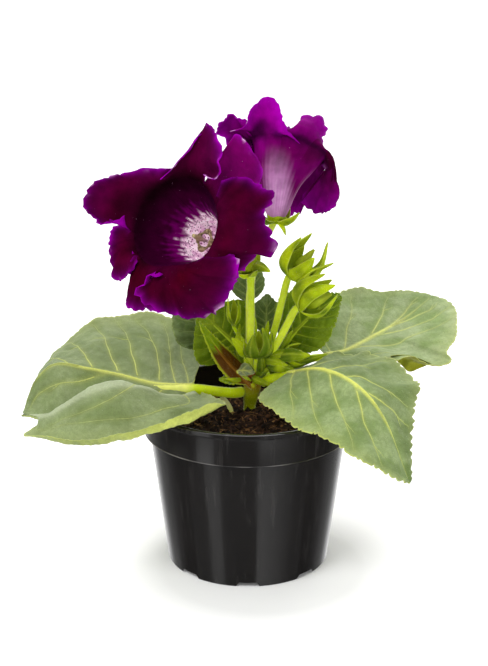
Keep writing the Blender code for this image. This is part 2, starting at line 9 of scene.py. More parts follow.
import bmesh
import bpy
import numpy as np
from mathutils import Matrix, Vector, kdtree


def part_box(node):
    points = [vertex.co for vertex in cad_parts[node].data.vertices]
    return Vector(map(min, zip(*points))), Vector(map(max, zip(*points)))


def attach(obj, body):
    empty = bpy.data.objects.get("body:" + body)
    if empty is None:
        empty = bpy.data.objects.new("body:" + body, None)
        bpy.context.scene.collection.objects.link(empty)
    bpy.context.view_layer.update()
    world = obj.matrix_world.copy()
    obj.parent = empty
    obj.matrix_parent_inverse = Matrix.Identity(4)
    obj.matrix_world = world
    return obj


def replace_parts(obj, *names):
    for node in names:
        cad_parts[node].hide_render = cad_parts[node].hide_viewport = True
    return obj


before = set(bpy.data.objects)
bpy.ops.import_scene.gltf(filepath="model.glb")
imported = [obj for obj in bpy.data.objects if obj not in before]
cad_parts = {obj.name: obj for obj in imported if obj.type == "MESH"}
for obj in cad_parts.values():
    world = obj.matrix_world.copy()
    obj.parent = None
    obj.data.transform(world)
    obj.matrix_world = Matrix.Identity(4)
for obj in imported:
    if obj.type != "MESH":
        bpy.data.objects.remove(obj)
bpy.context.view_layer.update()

MM = 0.001
WELD = 0.002 * MM

scene = bpy.context.scene


def placed(name, data):
    """A new object in the scene that holds this data."""
    made = bpy.data.objects.new(name, data)
    scene.collection.objects.link(made)
    return made


# ---------------------------------------------------------------- curves


def mm(points):
    return np.array(points, float) * MM


def unit(vector):
    vector = np.asarray(vector, float)
    return vector / np.maximum(np.linalg.norm(vector, axis=-1, keepdims=True), 1e-12)


def ease(x):
    x = np.clip(x, 0.0, 1.0)
    return x * x * (3 - 2 * x)


def length_along(path):
    """The distance along a path of each of its points."""
    return np.append(0, np.cumsum(np.linalg.norm(np.diff(path, axis=0), axis=1)))


def smooth(points, count, crowd=1.0):
    """count points on a Catmull-Rom curve, evenly spaced, or closer at its start by crowd."""
    points = np.asarray(points, float)
    ends = np.vstack([2 * points[0] - points[1], points, 2 * points[-1] - points[-2]])
    t = np.linspace(0, 1, 24, endpoint=False)[:, None]
    dense = [
        0.5 * (2 * b + (c - a) * t + (2 * a - 5 * b + 4 * c - d) * t**2
               + (3 * b - a - 3 * c + d) * t**3)
        for a, b, c, d in zip(ends, ends[1:], ends[2:], ends[3:])
    ]
    dense = np.vstack([*dense, points[-1:]])
    length = length_along(dense)
    wanted = np.linspace(0, 1, count) ** crowd * length[-1]
    return np.column_stack([np.interp(wanted, length, dense[:, i]) for i in range(3)])


def frames(path):
    """(tangents, sides, ups) along a path, turned as little as possible."""
    tangents = unit(np.gradient(path, axis=0))
    start = np.array([1.0, 0, 0]) if abs(tangents[0][0]) < 0.8 else np.array([0, 1.0, 0])
    sides = []
    for tangent in tangents:
        start = unit(start - tangent * start.dot(tangent))
        sides.append(start)
    sides = np.array(sides)
    return tangents, sides, np.cross(tangents, sides)


def waves(points, size, seed, count=9):
    """Smooth noise about -1 to 1 at each point: a sum of waves about size mm long."""
    draw = np.random.default_rng(seed)
    points = np.asarray(points, float)
    total = np.zeros(points.shape[:-1])
    for _ in range(count):
        direction = unit(draw.normal(size=3)) * 2 * math.pi
        direction /= size * MM * draw.uniform(0.7, 1.6)
        total += np.sin(points @ direction + draw.uniform(0, 2 * math.pi))
    return total / math.sqrt(count)


def wave_line(length, size, seed):
    """Smooth noise about -1 to 1 at these distances along a line."""
    places = np.zeros((*np.shape(length), 3))
    places[..., 0] = length
    return waves(places, size, seed, 6)


def patches(points, size, seed):
    """Smooth patches of 0 to 1, about size mm long."""
    return ease(0.5 + 0.5 * waves(points, size, seed))


def turns(count):
    """Angles evenly spaced over a full turn."""
    return np.linspace(0, 2 * math.pi, count, endpoint=False)


def heading(angle):
    """The level direction at this angle."""
    return np.array([math.cos(angle), math.sin(angle), 0])


def left_of(ahead):
    """The level direction to the left of another."""
    return np.array([-ahead[1], ahead[0], 0])


def tree_of(places):
    """A search tree over these places."""
    tree = kdtree.KDTree(len(places))
    for index, place in enumerate(places):
        tree.insert(place, index)
    tree.balance()
    return tree


# ---------------------------------------------------------------- colours and materials


def srgb(*levels):
    """A linear colour from levels of 0 to 255."""
    c = np.array(levels, float) / 255
    return np.where(c <= 0.04045, c / 12.92, ((c + 0.055) / 1.055) ** 2.4)


def mix(a, b, share):
    share = np.asarray(share, float)[..., None]
    return np.asarray(a) * (1 - share) + np.asarray(b) * share


def coats(colour, *layers):
    """A colour with each layer's (tint, share) mixed over it in turn."""
    for tint, share in layers:
        colour = mix(colour, tint, share)
    return colour


class Nodes:
    """Adds nodes to a tree. An input is a value, or another node's output to link."""

    def __init__(self, tree):
        self.tree = tree

    def feed(self, socket, value):
        if isinstance(value, bpy.types.NodeSocket):
            self.tree.links.new(value, socket)
        elif socket.type == "RGBA":
            socket.default_value = (*value, 1)
        else:
            socket.default_value = value

    def node(self, kind, inputs=None, **settings):
        made = self.tree.nodes.new("ShaderNode" + kind)
        for key, value in settings.items():
            setattr(made, key, value)
        for key, value in (inputs or {}).items():
            self.feed(made.inputs[key], value)
        return made

    def math(self, what, *values):
        return self.node("Math", dict(enumerate(values)), operation=what).outputs[0]


class Look(Nodes):
    """A node material. Sockets that hold one value are set on the shader itself."""

    def __init__(self, name, **sockets):
        self.made = bpy.data.materials.new(name)
        self.made.use_nodes = True
        super().__init__(self.made.node_tree)
        self.shader = self.tree.nodes["Principled BSDF"]
        for socket, value in sockets.items():
            self.set(socket.replace("_", " "), value)

    def set(self, socket, value):
        self.feed(self.shader.inputs[socket], value)

    def place(self):
        return self.node("TexCoord").outputs["Object"]

    def attribute(self, name, output="Color"):
        return self.node("Attribute", attribute_name=name).outputs[output]

    def noise(self, scale, detail=3.0, rough=0.55, where=None):
        return self.node("TexNoise", {"Vector": where or self.place(), "Scale": scale,
                                      "Detail": detail, "Roughness": rough}).outputs["Fac"]

    def ramp(self, factor, *stops):
        """A grey ramp between two stops, each a (position, level)."""
        made = self.node("ValToRGB", {"Fac": factor})
        for element, (position, level) in zip(made.color_ramp.elements, stops):
            element.position = position
            element.color = (level, level, level, 1)
        return made.outputs["Color"]

    def blend(self, factor, a, b, how="MIX"):
        return self.node("Mix", {0: factor, 6: a, 7: b}, data_type="RGBA",
                         blend_type=how).outputs[2]

    def mottled(self, tint, noise, *stops):
        """A tint made darker and lighter by a noise that is ramped between two stops."""
        return self.blend(1.0, tint, self.ramp(noise, *stops), "MULTIPLY")

    def bump(self, height, distance, strength=1.0):
        """Adds a bump layer of this depth in metres over those already there."""
        inputs = {"Height": height, "Distance": distance, "Strength": strength}
        for old in self.shader.inputs["Normal"].links:
            inputs["Normal"] = old.from_socket
        self.set("Normal", self.node("Bump", inputs).outputs["Normal"])


def leaf_look(name, fuzz, cells, translucent):
    look = Look(name, Roughness=0.6, Specular_IOR_Level=0.14, Sheen_Weight=fuzz,
                Sheen_Roughness=0.45, Sheen_Tint=(0.72, 0.82, 0.6),
                Subsurface_Weight=translucent, Subsurface_Radius=(0.6, 1.0, 0.1),
                Subsurface_Scale=0.0015)
    tint = look.mottled(look.attribute("tint"), look.noise(90, 4), (0.3, 0.88), (0.7, 1.08))
    look.set("Base Color", look.mottled(tint, look.noise(1400, 2), (0.35, 0.88), (0.65, 1.08)))
    mesh = look.node("TexVoronoi", {"Vector": look.place(), "Scale": cells},
                     feature="SMOOTH_F1").outputs["Distance"]
    look.bump(mesh, 0.00022, 0.7)
    look.bump(look.noise(2600, 2), 0.00010, 0.6)
    return look.made


def petal_look():
    look = Look("petal_velvet", Roughness=0.6, Specular_IOR_Level=0.01, Sheen_Weight=0.04,
                Sheen_Roughness=0.3, Sheen_Tint=(0.42, 0.0, 0.4), Emission_Strength=1.0)
    tint = look.mottled(look.attribute("tint"), look.noise(150, 4), (0.3, 0.74), (0.7, 1.25))
    # Fine streaks that run up the tube: "streak" holds the angle round it.
    round_it = look.attribute("streak", "Vector")
    streaks = look.ramp(look.noise(1.0, 4, 0.65, round_it), (0.36, 0.0), (0.66, 1.0))
    pale = look.math("MULTIPLY", look.attribute("pale", "Fac"), 0.42)
    tint = look.blend(look.math("MULTIPLY", streaks, pale), tint, srgb(150, 62, 142))
    # Purple specks and blushes on the white of the throat.
    cells = look.node("TexVoronoi", {"Vector": look.place(), "Scale": 760.0})
    dots = look.ramp(cells.outputs["Distance"], (0.24, 1.0), (0.36, 0.0))
    blushes = look.ramp(look.noise(300, 3), (0.44, 0.0), (0.6, 1.0))
    speck = look.attribute("speck", "Fac")
    tint = look.blend(look.math("MULTIPLY", look.math("MULTIPLY", blushes, speck), 0.6),
                      tint, srgb(160, 60, 140))
    tint = look.blend(look.math("MULTIPLY", dots, speck), tint, srgb(80, 4, 70))
    grains = look.ramp(look.noise(1100, 1), (0.795, 0.0), (0.82, 0.5))
    tint = look.blend(grains, tint, srgb(206, 160, 190))
    look.set("Base Color", tint)
    # Painted glow: the white throat gives off light, for daylight that comes through its pale
    # wall.
    look.set("Emission Color", look.blend(1.0, tint, look.math("MULTIPLY", speck, 0.3),
                                          "MULTIPLY"))
    look.bump(look.noise(1500, 3), 0.00012, 0.7)
    look.bump(look.noise(1.0, 3, 0.6, round_it), 0.0002, 0.35)
    return look.made


def stalk_look():
    look = Look("stalk_skin", Roughness=0.35, Specular_IOR_Level=0.2, Sheen_Weight=0.5,
                Sheen_Roughness=0.35, Sheen_Tint=(0.8, 0.85, 0.42),
                Subsurface_Weight=0.15, Subsurface_Radius=(0.8, 1.0, 0.05),
                Subsurface_Scale=0.0015, Emission_Strength=0.2)
    tint = look.mottled(look.attribute("tint"), look.noise(160), (0.3, 0.85), (0.7, 1.12))
    look.set("Base Color", tint)
    look.set("Emission Color", tint)  # painted glow for daylight through the soft flesh
    look.bump(look.noise(900, 2), 0.0001, 0.6)
    return look.made


def hair_look():
    look = Look("plant_hair", Roughness=0.5, Specular_IOR_Level=0.4,
                Subsurface_Weight=0.2, Subsurface_Scale=0.001)
    look.set("Base Color", look.blend(look.noise(300, 1), srgb(226, 232, 190),
                                      srgb(250, 250, 236)))
    return look.made


def pollen_look():
    look = Look("pollen_grain", Roughness=0.8, Specular_IOR_Level=0.2)
    look.set("Base Color", look.mottled(look.attribute("tint"), look.noise(700), (0.3, 0.6),
                                        (0.7, 1.15)))
    look.bump(look.noise(1600, 2), 0.0003)
    return look.made


def soil_look():
    look = Look("peat", Roughness=0.92, Specular_IOR_Level=0.25)
    look.set("Base Color", look.mottled(look.attribute("tint"), look.noise(420, 5, 0.7),
                                        (0.3, 0.35), (0.75, 1.7)))
    look.bump(look.noise(700, 5, 0.7), 0.0012)
    return look.made


def pot_look():
    look = Look("black_plastic", Specular_IOR_Level=0.5, IOR=1.5)
    stretched = look.node("Mapping", {"Vector": look.place(), "Scale": (1, 1, 0.06)}).outputs[0]
    streaks = look.noise(110, 4, 0.6, stretched)
    tone = look.blend(look.noise(60, 3), srgb(21, 20, 20), srgb(30, 28, 27))
    fine = look.ramp(look.noise(260, 3, 0.6, stretched), (0.56, 0.0), (0.7, 0.6))
    tone = look.blend(fine, tone, srgb(48, 46, 45))
    # The tint carries the painted highlight along the collar's foot.
    look.set("Base Color", look.blend(1.0, tone, look.attribute("tint"), "LIGHTEN"))
    dust = look.ramp(look.noise(2400, 2), (0.74, 0.0), (0.8, 1.0))
    look.set("Roughness", look.math("ADD", look.math("MULTIPLY", dust, 0.12),
                                    look.ramp(streaks, (0.3, 0.07), (0.7, 0.22))))
    look.bump(look.noise(75, 4, 0.6, stretched), 0.0003, 0.45)
    look.bump(look.noise(2200, 2), 0.00003, 0.3)
    return look.made


LEAF = leaf_look("leaf_felt", 0.25, 420.0, 0.05)
YOUNG = leaf_look("young_leaf", 0.04, 520.0, 0.12)
PETAL = petal_look()
STALK = stalk_look()
HAIR = hair_look()
POLLEN = pollen_look()
SOIL = soil_look()
POT = pot_look()

# ---------------------------------------------------------------- mesh building


def rgba(tints):
    return np.pad(tints, ((0, 0), (0, 1)), constant_values=1).astype(np.float32)


class Piece:
    """Points, faces, tints and further values gathered for one object."""

    def __init__(self, name):
        self.name = name
        self.points, self.faces, self.tints, self.marks, self.slots = [], [], [], [], []
        self.count = 0

    def add(self, points, faces, tint, slot=0, marks=None):
        """marks is (n, 5): pale, speck and the place in the streaks of each point."""
        points = np.asarray(points, float).reshape(-1, 3)
        self.points.append(points)
        self.faces += [tuple(int(i) + self.count for i in face) for face in faces]
        self.slots += [slot] * len(faces)
        self.tints.append(np.broadcast_to(tint, points.shape))
        if marks is None:
            marks = np.zeros((len(points), 5))
        self.marks.append(marks)
        self.count += len(points)

    def add_sheet(self, top, under, tint, tint_under, marks=None):
        """A closed sheet between two grids, each with its own tints."""
        points, faces = close_grid(top, under)
        tints = np.vstack([tint.reshape(-1, 3), tint_under.reshape(-1, 3)])
        self.add(points, faces, tints, marks=marks)

    def make(self, looks, body_slot, offset=(0, 0, 0), weld=0.0):
        mesh = bpy.data.meshes.new(self.name)
        mesh.from_pydata((np.vstack(self.points) + offset).tolist(), [], self.faces)
        for look in looks:
            mesh.materials.append(look)
        mesh.polygons.foreach_set("material_index", self.slots)
        values = [("tint", "FLOAT_COLOR", "color", rgba(np.vstack(self.tints)))]
        marks = np.vstack(self.marks).astype(np.float32)
        if marks.any():
            values += [("pale", "FLOAT", "value", marks[:, 0]),
                       ("speck", "FLOAT", "value", marks[:, 1]),
                       ("streak", "FLOAT_VECTOR", "vector", marks[:, 2:])]
        for name, kind, key, value in values:
            mesh.attributes.new(name, kind, "POINT").data.foreach_set(key, value.ravel())
        shape = bmesh.new()
        shape.from_mesh(mesh)
        if weld:
            bmesh.ops.remove_doubles(shape, verts=shape.verts, dist=weld)
        bmesh.ops.recalc_face_normals(shape, faces=shape.faces)
        shape.to_mesh(mesh)
        shape.free()
        mesh.shade_smooth()
        made = placed(self.name, mesh)
        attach(made, "root")
        return made


def to_node(node, points):
    """The move that sets the middle of these points' box on the middle of the node's."""
    low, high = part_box(node)
    points = np.asarray(points).reshape(-1, 3)
    middle = (points.min(0) + points.max(0)) / 2
    return (np.array(low) + np.array(high)) / 2 - middle


def grid_faces(rows, columns, wrap=False):
    r, c = np.meshgrid(np.arange(rows - 1), np.arange(columns if wrap else columns - 1),
                       indexing="ij")
    r, c = r.ravel(), c.ravel()
    after = (c + 1) % columns
    return np.column_stack([r * columns + c, r * columns + after,
                            (r + 1) * columns + after, (r + 1) * columns + c])


def grid_normals(grid):
    """The normals of a grid; where a row is pinched, they come from a row further in."""
    along, across = np.gradient(grid, axis=0), np.gradient(grid, axis=1)
    normal = np.cross(along, across)
    size = np.linalg.norm(normal, axis=2)
    weak = size < 1e-3 * np.median(size)
    normal = unit(normal)
    for row in np.where(weak.any(axis=1))[0]:
        good = normal[min(row + 3, len(grid) - 1)] if row < len(grid) / 2 else normal[row - 3]
        normal[row][weak[row]] = good[weak[row]]
    return unit(normal)


def close_grid(top, bottom):
    """(points, faces) of the closed solid between two grids of the same size."""
    rows, columns = top.shape[:2]
    count = rows * columns
    faces = grid_faces(rows, columns)
    rim = [*range(columns - 1), *range(columns - 1, count - 1, columns),
           *range(count - 1, count - columns, -1), *range(count - columns, 0, -columns)]
    rim = np.array(rim)
    after = np.roll(rim, -1)
    sides = np.column_stack([rim, rim + count, after + count, after])
    points = np.vstack([top.reshape(-1, 3), bottom.reshape(-1, 3)])
    return points, np.vstack([faces, faces[:, ::-1] + count, sides])


def tube_parts(path, radii, sides, ridges=0.0, ridge_count=5, seed=0, flat=1.0):
    """(points, faces, normals) of a round closed tube; ridges makes it fluted."""
    path = np.asarray(path, float)
    _, side, up = frames(path)
    share = np.linspace(0, 1, len(path))
    radius = np.interp(share, np.linspace(0, 1, len(radii)), radii)[:, None]
    turn = turns(sides)[None, :]
    swell = 1 + 0.04 * wave_line(share * 60 * MM, 14, seed)[:, None]
    reach = radius * swell * (1 + ridges * np.cos(ridge_count * turn + seed))
    out = (np.cos(turn)[..., None] * side[:, None]
           + flat * np.sin(turn)[..., None] * up[:, None])
    points = path[:, None] + reach[..., None] * out
    faces = grid_faces(len(path), sides, wrap=True).tolist()
    faces.append(list(range(sides)))
    faces.append([(len(path) - 1) * sides + i for i in reversed(range(sides))])
    return points.reshape(-1, 3), faces, unit(out).reshape(-1, 3)


def add_hairs(piece, roots, normals, count, length, thick, seed, slot=1):
    """Fine hairs, each a thin closed spike, on count of these places. Sizes in mm."""
    draw = np.random.default_rng(seed)
    picked = draw.choice(len(roots), size=min(count, len(roots)), replace=count > len(roots))
    root = roots[picked]
    aim = unit(normals[picked] + 0.45 * draw.normal(size=root.shape))
    size = length * MM * draw.uniform(0.5, 1.3, len(root))
    side = unit(np.cross(aim, draw.normal(size=root.shape)))
    other = np.cross(aim, side)
    base = root - aim * 0.1 * MM
    corners = [base + thick * MM * (math.cos(a) * side + math.sin(a) * other)
               for a in (0, 2.1, 4.2)]
    points = np.stack([*corners, base + aim * size[:, None]], axis=1)
    spike = np.array([(2, 1, 0), (0, 1, 3), (1, 2, 3), (2, 0, 3)])
    faces = (4 * np.arange(len(root))[:, None, None] + spike).reshape(-1, 3)
    piece.add(points, faces, srgb(235, 238, 210), slot)


# ---------------------------------------------------------------- leaves


def blade(rib, left, right, stations, across):
    """A grid of points over a blade, from the left margin over the midrib to the right."""
    rib = smooth(mm(rib), stations, crowd=1.35)
    halves = []
    for rails in (left, right):
        rails = [smooth(mm(rail), stations) for rail in rails]
        halves.append(np.array([smooth(np.array(row), across + 1) for row in zip(rib, *rails)]))
    return np.concatenate([halves[0][:, :0:-1], halves[1]], axis=1)


def on_grid(grid, t, u):
    """Points of a grid at shares t along it and u of -1 to 1 across it."""
    rows, columns = grid.shape[:2]
    r = np.clip(t, 0, 1) * (rows - 1)
    c = (np.clip(u, -1, 1) + 1) / 2 * (columns - 1)
    r0 = np.minimum(r.astype(int), rows - 2)
    c0 = np.minimum(c.astype(int), columns - 2)
    fr, fc = (r - r0)[:, None], (c - c0)[:, None]
    return ((grid[r0, c0] * (1 - fc) + grid[r0, c0 + 1] * fc) * (1 - fr)
            + (grid[r0 + 1, c0] * (1 - fc) + grid[r0 + 1, c0 + 1] * fc) * fr)


def nearest(points, lines):
    """(distance, width) at each point to the nearest of the (place, width) lines."""
    places = np.vstack([line for line, _ in lines])
    widths = np.concatenate([width for _, width in lines])
    tree = tree_of(places)
    found = [tree.find(point) for point in points]
    distance = np.array([f[2] for f in found])
    return distance, widths[[f[1] for f in found]]


def vein_lines(veins, seed, count):
    """The veins of a blade, each as (shares along it, shares across it, widths).

    veins lists each side's laterals as places (share along, share across) on the blade.
    Each lateral bears a fork that turns up towards the tip.
    """
    draw = np.random.default_rng(seed)
    t = np.linspace(0.02, 0.98, 160)
    lines = [(t, 0 * t, (1.5 - 1.25 * t) * MM)]
    for side, laterals in zip((-1, 1), veins):
        for places in laterals:
            s = np.linspace(0, 1, count)
            curve = smooth([(a, b, 0) for a, b in places], count)
            curve[:, 0] += 0.0015 * np.sin(s * 24 + draw.uniform(0, 6))
            lines.append((curve[:, 0], side * curve[:, 1], (0.85 - 0.55 * s) * MM))
            start = curve[int((0.6 + draw.uniform(-0.08, 0.08)) * count)]
            reach = draw.uniform(0.03, 0.07)
            s = np.linspace(0, 1, 10)
            lines.append((start[0] + reach * s, side * (start[1] + reach * 0.9 * s**0.8),
                          (0.26 - 0.12 * s) * MM))
    return lines


def add_veins(piece, top, normal, lines, tint, fade):
    """Fine raised ribbons along the veins, from this tint towards fade at their ends.

    They leave out the midrib's foot, which is a broad band of its own.
    """
    foot_length, foot_width = 0.66, 0.06
    for t, u, widths in lines:
        shown = (t > foot_length) | (np.abs(u) > foot_width)
        t, u, widths = t[shown], u[shown], widths[shown]
        path, out = on_grid(top, t, u), unit(on_grid(normal, t, u))
        side = unit(np.cross(out, np.gradient(path, axis=0)))
        points = np.stack([path + side * (widths * x)[:, None] + out * z * MM
                           for x, z in ((-0.5, -0.1), (-0.28, 0.16), (0.28, 0.16), (0.5, -0.1))],
                          axis=1)
        rows = len(path)
        faces = grid_faces(rows, 4, wrap=True).tolist()
        faces += [[0, 1, 2, 3], [rows * 4 - 4 + i for i in (3, 2, 1, 0)]]
        share = np.linspace(0, 1, rows).repeat(4)
        piece.add(points, faces, mix(tint, fade, 0.32 + 0.6 * share))


def cell_borders(grid, size, seed):
    """The distance of each point of a blade from the border of its quilted cell of size mm."""
    tries, least = 6000, 0.72 * size * MM
    draw = np.random.default_rng(seed)
    flat = grid.reshape(-1, 3)
    places = flat[draw.permutation(len(flat))[:tries]]
    chosen = places[:1]
    for place in places[1:]:
        if np.min(np.sum((chosen - place) ** 2, axis=1)) > least**2:
            chosen = np.vstack([chosen, place])
    tree = tree_of(chosen)
    bent = flat + 0.25 * size * MM * np.stack([waves(flat, 1.3 * size, seed + i)
                                               for i in range(3)], axis=1)
    found = [tree.find_n(point, 2) for point in bent]
    return np.array([b[2] - a[2] for a, b in found]).reshape(grid.shape[:2]) / 2


NIGHT = (0, 0, 0)
LEAF_TINTS = {
    "sage": (srgb(108, 124, 74), srgb(135, 149, 103), srgb(214, 220, 112), srgb(186, 196, 96)),
    "fresh": (srgb(114, 135, 76), srgb(144, 162, 107), srgb(222, 226, 108), srgb(160, 172, 92)),
    "pale": (srgb(130, 150, 92), srgb(156, 170, 124), srgb(222, 226, 130), srgb(126, 130, 10)),
    "young": (srgb(86, 114, 0), srgb(124, 150, 22), srgb(168, 188, 40), srgb(128, 150, 18)),
    "bright": (srgb(118, 152, 0), srgb(150, 178, 16), srgb(192, 206, 40), srgb(150, 168, 10)),
    # dark: darker sage tints, painted shade for the leaves deep behind the stalks.
    "dark": (srgb(84, 104, 52), srgb(112, 130, 82), srgb(146, 160, 90), srgb(104, 118, 44)),
    "brown": (srgb(92, 54, 0), srgb(120, 78, 4), srgb(122, 80, 6), srgb(150, 156, 30)),
}
STEM_SIDES = 18
CELL = 4.4


def toothed(grid, u, teeth, sway, seed):
    """(grid, relief): rounded teeth, larger towards the tip, on slow sways in and out."""
    rows, columns = u.shape
    period, depth = teeth[0] * MM, teeth[1] * MM
    up_tip = np.linspace(0, 1, rows)
    relief = np.zeros(u.shape)
    for edge, side, inner in ((0, -1, 4), (columns - 1, 1, columns - 5)):
        line = grid[:, edge]
        run = length_along(line)
        slow = wave_line(run, 17, seed + edge + 5)
        run = run + 1.3 * MM * wave_line(run, 9, seed + edge)
        tooth = np.abs(np.sin(math.pi * run / period)) ** 0.7
        push = depth * (0.55 + 0.6 * up_tip) * ease(12 * up_tip) * (tooth - 0.6)
        swing = sway * MM * slow * ease(8 * up_tip) * ease(8 - 8 * up_tip)
        near_edge = ease((np.abs(u) - 0.86) / 0.14) * (np.sign(u) == side)
        wide_edge = ease((np.abs(u) - 0.55) / 0.45) * (np.sign(u) == side)
        move = near_edge * push[:, None] + wide_edge * swing[:, None]
        grid = grid + move[..., None] * unit(line - grid[:, inner])[:, None]
        relief += near_edge * tooth[:, None]
    return grid, relief


def leaf(name, petiole, rib, left, right, radius, veins, seed, tints="sage", stations=190,
         across=46, teeth=(4.6, 1.0), quilt=(0.8, 0.3), ripple=0.6, up=(0, 0, 1), hairs=900,
         slot="leaf_green", look=LEAF, thickness=1.0, anchor=None, band=1.5, sway=0.0,
         crest_highlight=0.0, settle=True, outer=None, pale_foot=0.0, painted_shade=(0.0, 0.0)):
    """A leaf: felted blade with veins and a toothed margin, on its petiole.

    anchor is another blade (left, right) to set the leaf's place by, where its own is shaped
    beyond its node. band is the half-width of the pale midrib at its foot, and crest_highlight
    how pale the painted highlight is along a crest, where the fuzz catches the light. outer
    names the tints of the tip, where they differ, pale_foot says how far the underside is
    paler towards the petiole, and painted_shade how much painted shade darkens each half.
    """
    grid = blade(rib, left, right, stations, across)
    rows, columns = grid.shape[:2]
    plain = blade(rib, *anchor, 60, 12) if anchor else grid
    ridge = [(x, y, z - 0.5) for x, y, z in rib[: max(3, len(rib) - 2)]]
    radii = np.array([radius, radius, radius * 0.7, 0.45]) * MM
    outline = np.vstack([plain.reshape(-1, 3), tube_parts(smooth(mm(petiole + ridge), 60),
                                                          radii, STEM_SIDES)[0]])
    offset = to_node(name, outline) if settle else np.zeros(3)
    sunk = [(x, y, z - min(0.75 + 0.25 * i, 1.0) * radius * (1 - 0.12 * i))
            for i, (x, y, z) in enumerate(ridge)]
    stem_path = smooth(mm(petiole + sunk), 60)
    reach = length_along(stem_path)
    joint = reach[np.argmin(np.linalg.norm(stem_path - mm(rib[0]), axis=1))]
    stem, stem_faces, stem_out = tube_parts(stem_path, radii * (1.08, 1.08, 0.7, 0.8),
                                            STEM_SIDES, 0.03, 3, seed)

    t, u = np.meshgrid(np.linspace(0, 1, rows), np.linspace(-1, 1, columns), indexing="ij")
    off = np.abs(u)
    normal = grid_normals(grid)
    if (normal.mean((0, 1)) * np.array(up)).sum() < 0:
        normal = -normal
    gaps = np.linalg.norm(np.diff(grid, axis=1), axis=2)
    middle = columns // 2
    aside = np.zeros((rows, columns))
    aside[:, middle + 1:] = np.cumsum(gaps[:, middle:], axis=1)
    aside[:, :middle] = np.cumsum(gaps[:, :middle][:, ::-1], axis=1)[:, ::-1]

    # A vein thinner than the grid's spacing is drawn wider and fainter.
    lines = vein_lines(veins, seed, max(24, 2 * stations // 5))
    near, width = (found.reshape(rows, columns) for found in nearest(
        grid.reshape(-1, 3), [(on_grid(grid, *at), width) for *at, width in lines]))
    spacing = np.pad(gaps, ((0, 0), (0, 1)), mode="edge")
    drawn = np.maximum(width, np.maximum(0.34 * MM, 0.85 * spacing))
    vein = np.exp(-((near / (drawn * 1.25)) ** 2)) * (width / drawn) ** 0.8
    hollow = np.exp(-((near / (3.2 * MM)) ** 1.5))
    small = cell_borders(grid, CELL, seed + 40)
    net = np.exp(-((small / np.maximum(0.3 * MM, 0.6 * spacing)) ** 2))
    pillow = np.exp(-((small / (0.3 * CELL * MM)) ** 1.3))

    grid, relief = toothed(grid, u, teeth, sway, seed)
    wave = waves(grid, 26, seed + 3) * ripple + 0.35 * ripple * waves(grid, 9, seed + 4)
    wave *= ease(off * 2.2) * ease(t * 6)
    rib_band = np.exp(-((aside / ((band * (1 - 0.8 * t)) * MM)) ** 2)) * (
        1 - ease((t - 0.62) / 0.3))
    lift = (-quilt[0] * hollow * (1 - rib_band) - quilt[1] * pillow + wave
            + 0.25 * relief) * MM
    half = thickness * MM / 2 * (1 - 0.55 * ease((off - 0.8) / 0.2))
    top = grid + normal * (lift + half + 0.3 * MM * rib_band)[..., None]
    under = grid + normal * (lift - half - 0.55 * MM * vein - 0.15 * MM * net)[..., None]

    dark, light, yellow, below = LEAF_TINTS[tints]
    if outer:
        swap = ease((t - 0.58) / 0.12)
        dark, light, yellow, below = (mix(a, b, swap) for a, b in zip(
            LEAF_TINTS[tints], LEAF_TINTS[outer]))
    # Random blotches, lighter away from the veins: painted shade in the hollows sunk along them.
    blotch = ease(0.5 + 0.36 * waves(grid, 18, seed + 7)
                  + 0.16 * waves(grid, 5, seed + 8) + 0.3 * (1 - hollow) - 0.16)
    height = grid[..., 2]
    bend = np.zeros((rows, columns))
    bend[:, 3:-3] = (2 * height[:, 3:-3] - height[:, 6:] - height[:, :-6]) / (
        gaps[:, 3:-2] * 3) ** 2
    # Painted highlight along the crest of a fold, where the fuzz catches the light.
    crest = ease(bend * 0.02) * ease((aside - 6 * MM) / (4 * MM)) * crest_highlight
    # Painted shade darkens the sunk borders of the quilted cells (net) and each half by
    # painted_shade; a painted highlight pales the raised cells and the crest.
    colour = coats(
        dark, (light, blotch), (mix(dark, NIGHT, 0.2), 0.3 * net),
        (mix(light, (1, 1, 1), 0.1), 0.14 * (1 - pillow) * blotch),
        (mix(light, yellow, 0.35), 0.3 * ease((off - 0.7) / 0.3)),
        (NIGHT, np.where(u < 0, *painted_shade) * ease(off * 3)),
        (yellow, np.clip(0.3 * vein * (1 - 0.5 * off) + rib_band * (1 - 0.2 * t), 0, 1)),
        (yellow, 0.5 * ease((off - 0.975) / 0.025)),
        (LEAF_TINTS[outer or tints][2], bool(outer) * 0.8 * ease((off - 0.78) / 0.12)),
        (srgb(204, 212, 180), crest))
    # The front margin of a turned-up half is paler below near the petiole.
    low = coats(below, (mix(dark, light, 0.5), ease((t - 0.4) / 0.25) * pale_foot),
                (yellow, np.clip(0.6 * vein + 0.2 * net, 0, 1)),
                (mix(below, NIGHT, 0.2), 0.25 * blotch))
    piece = Piece(name + "_leaf")
    piece.add_sheet(top, under, colour, low)
    if not outer:
        add_veins(piece, top, normal, lines, yellow, light)
    past_joint = ease((reach - joint + 3 * MM) / (7 * MM))
    piece.add(stem, stem_faces, mix(srgb(184, 206, 14), LEAF_TINTS[tints][2],
                                    past_joint).repeat(STEM_SIDES, 0), 1)

    edges = np.vstack([grid[:, 0], grid[:, -1]])
    away = np.vstack([unit(grid[:, 0] - grid[:, 4]), unit(grid[:, -1] - grid[:, -5])])
    bare = int(len(stem_path) * len(petiole) / (len(petiole) + len(ridge))) * STEM_SIDES
    for roots, out, count, size, number, thick in (
            (edges, away, hairs, 0.6, 20, 0.03),
            (top.reshape(-1, 3), normal.reshape(-1, 3), hairs, 0.5, 22, 0.025),
            (stem[:bare], stem_out[:bare], hairs // 2, 0.8, 21, 0.035)):
        add_hairs(piece, roots, out, count, size, thick, seed + number, 2)
    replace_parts(piece.make([look, STALK, HAIR], slot, offset, WELD), name)


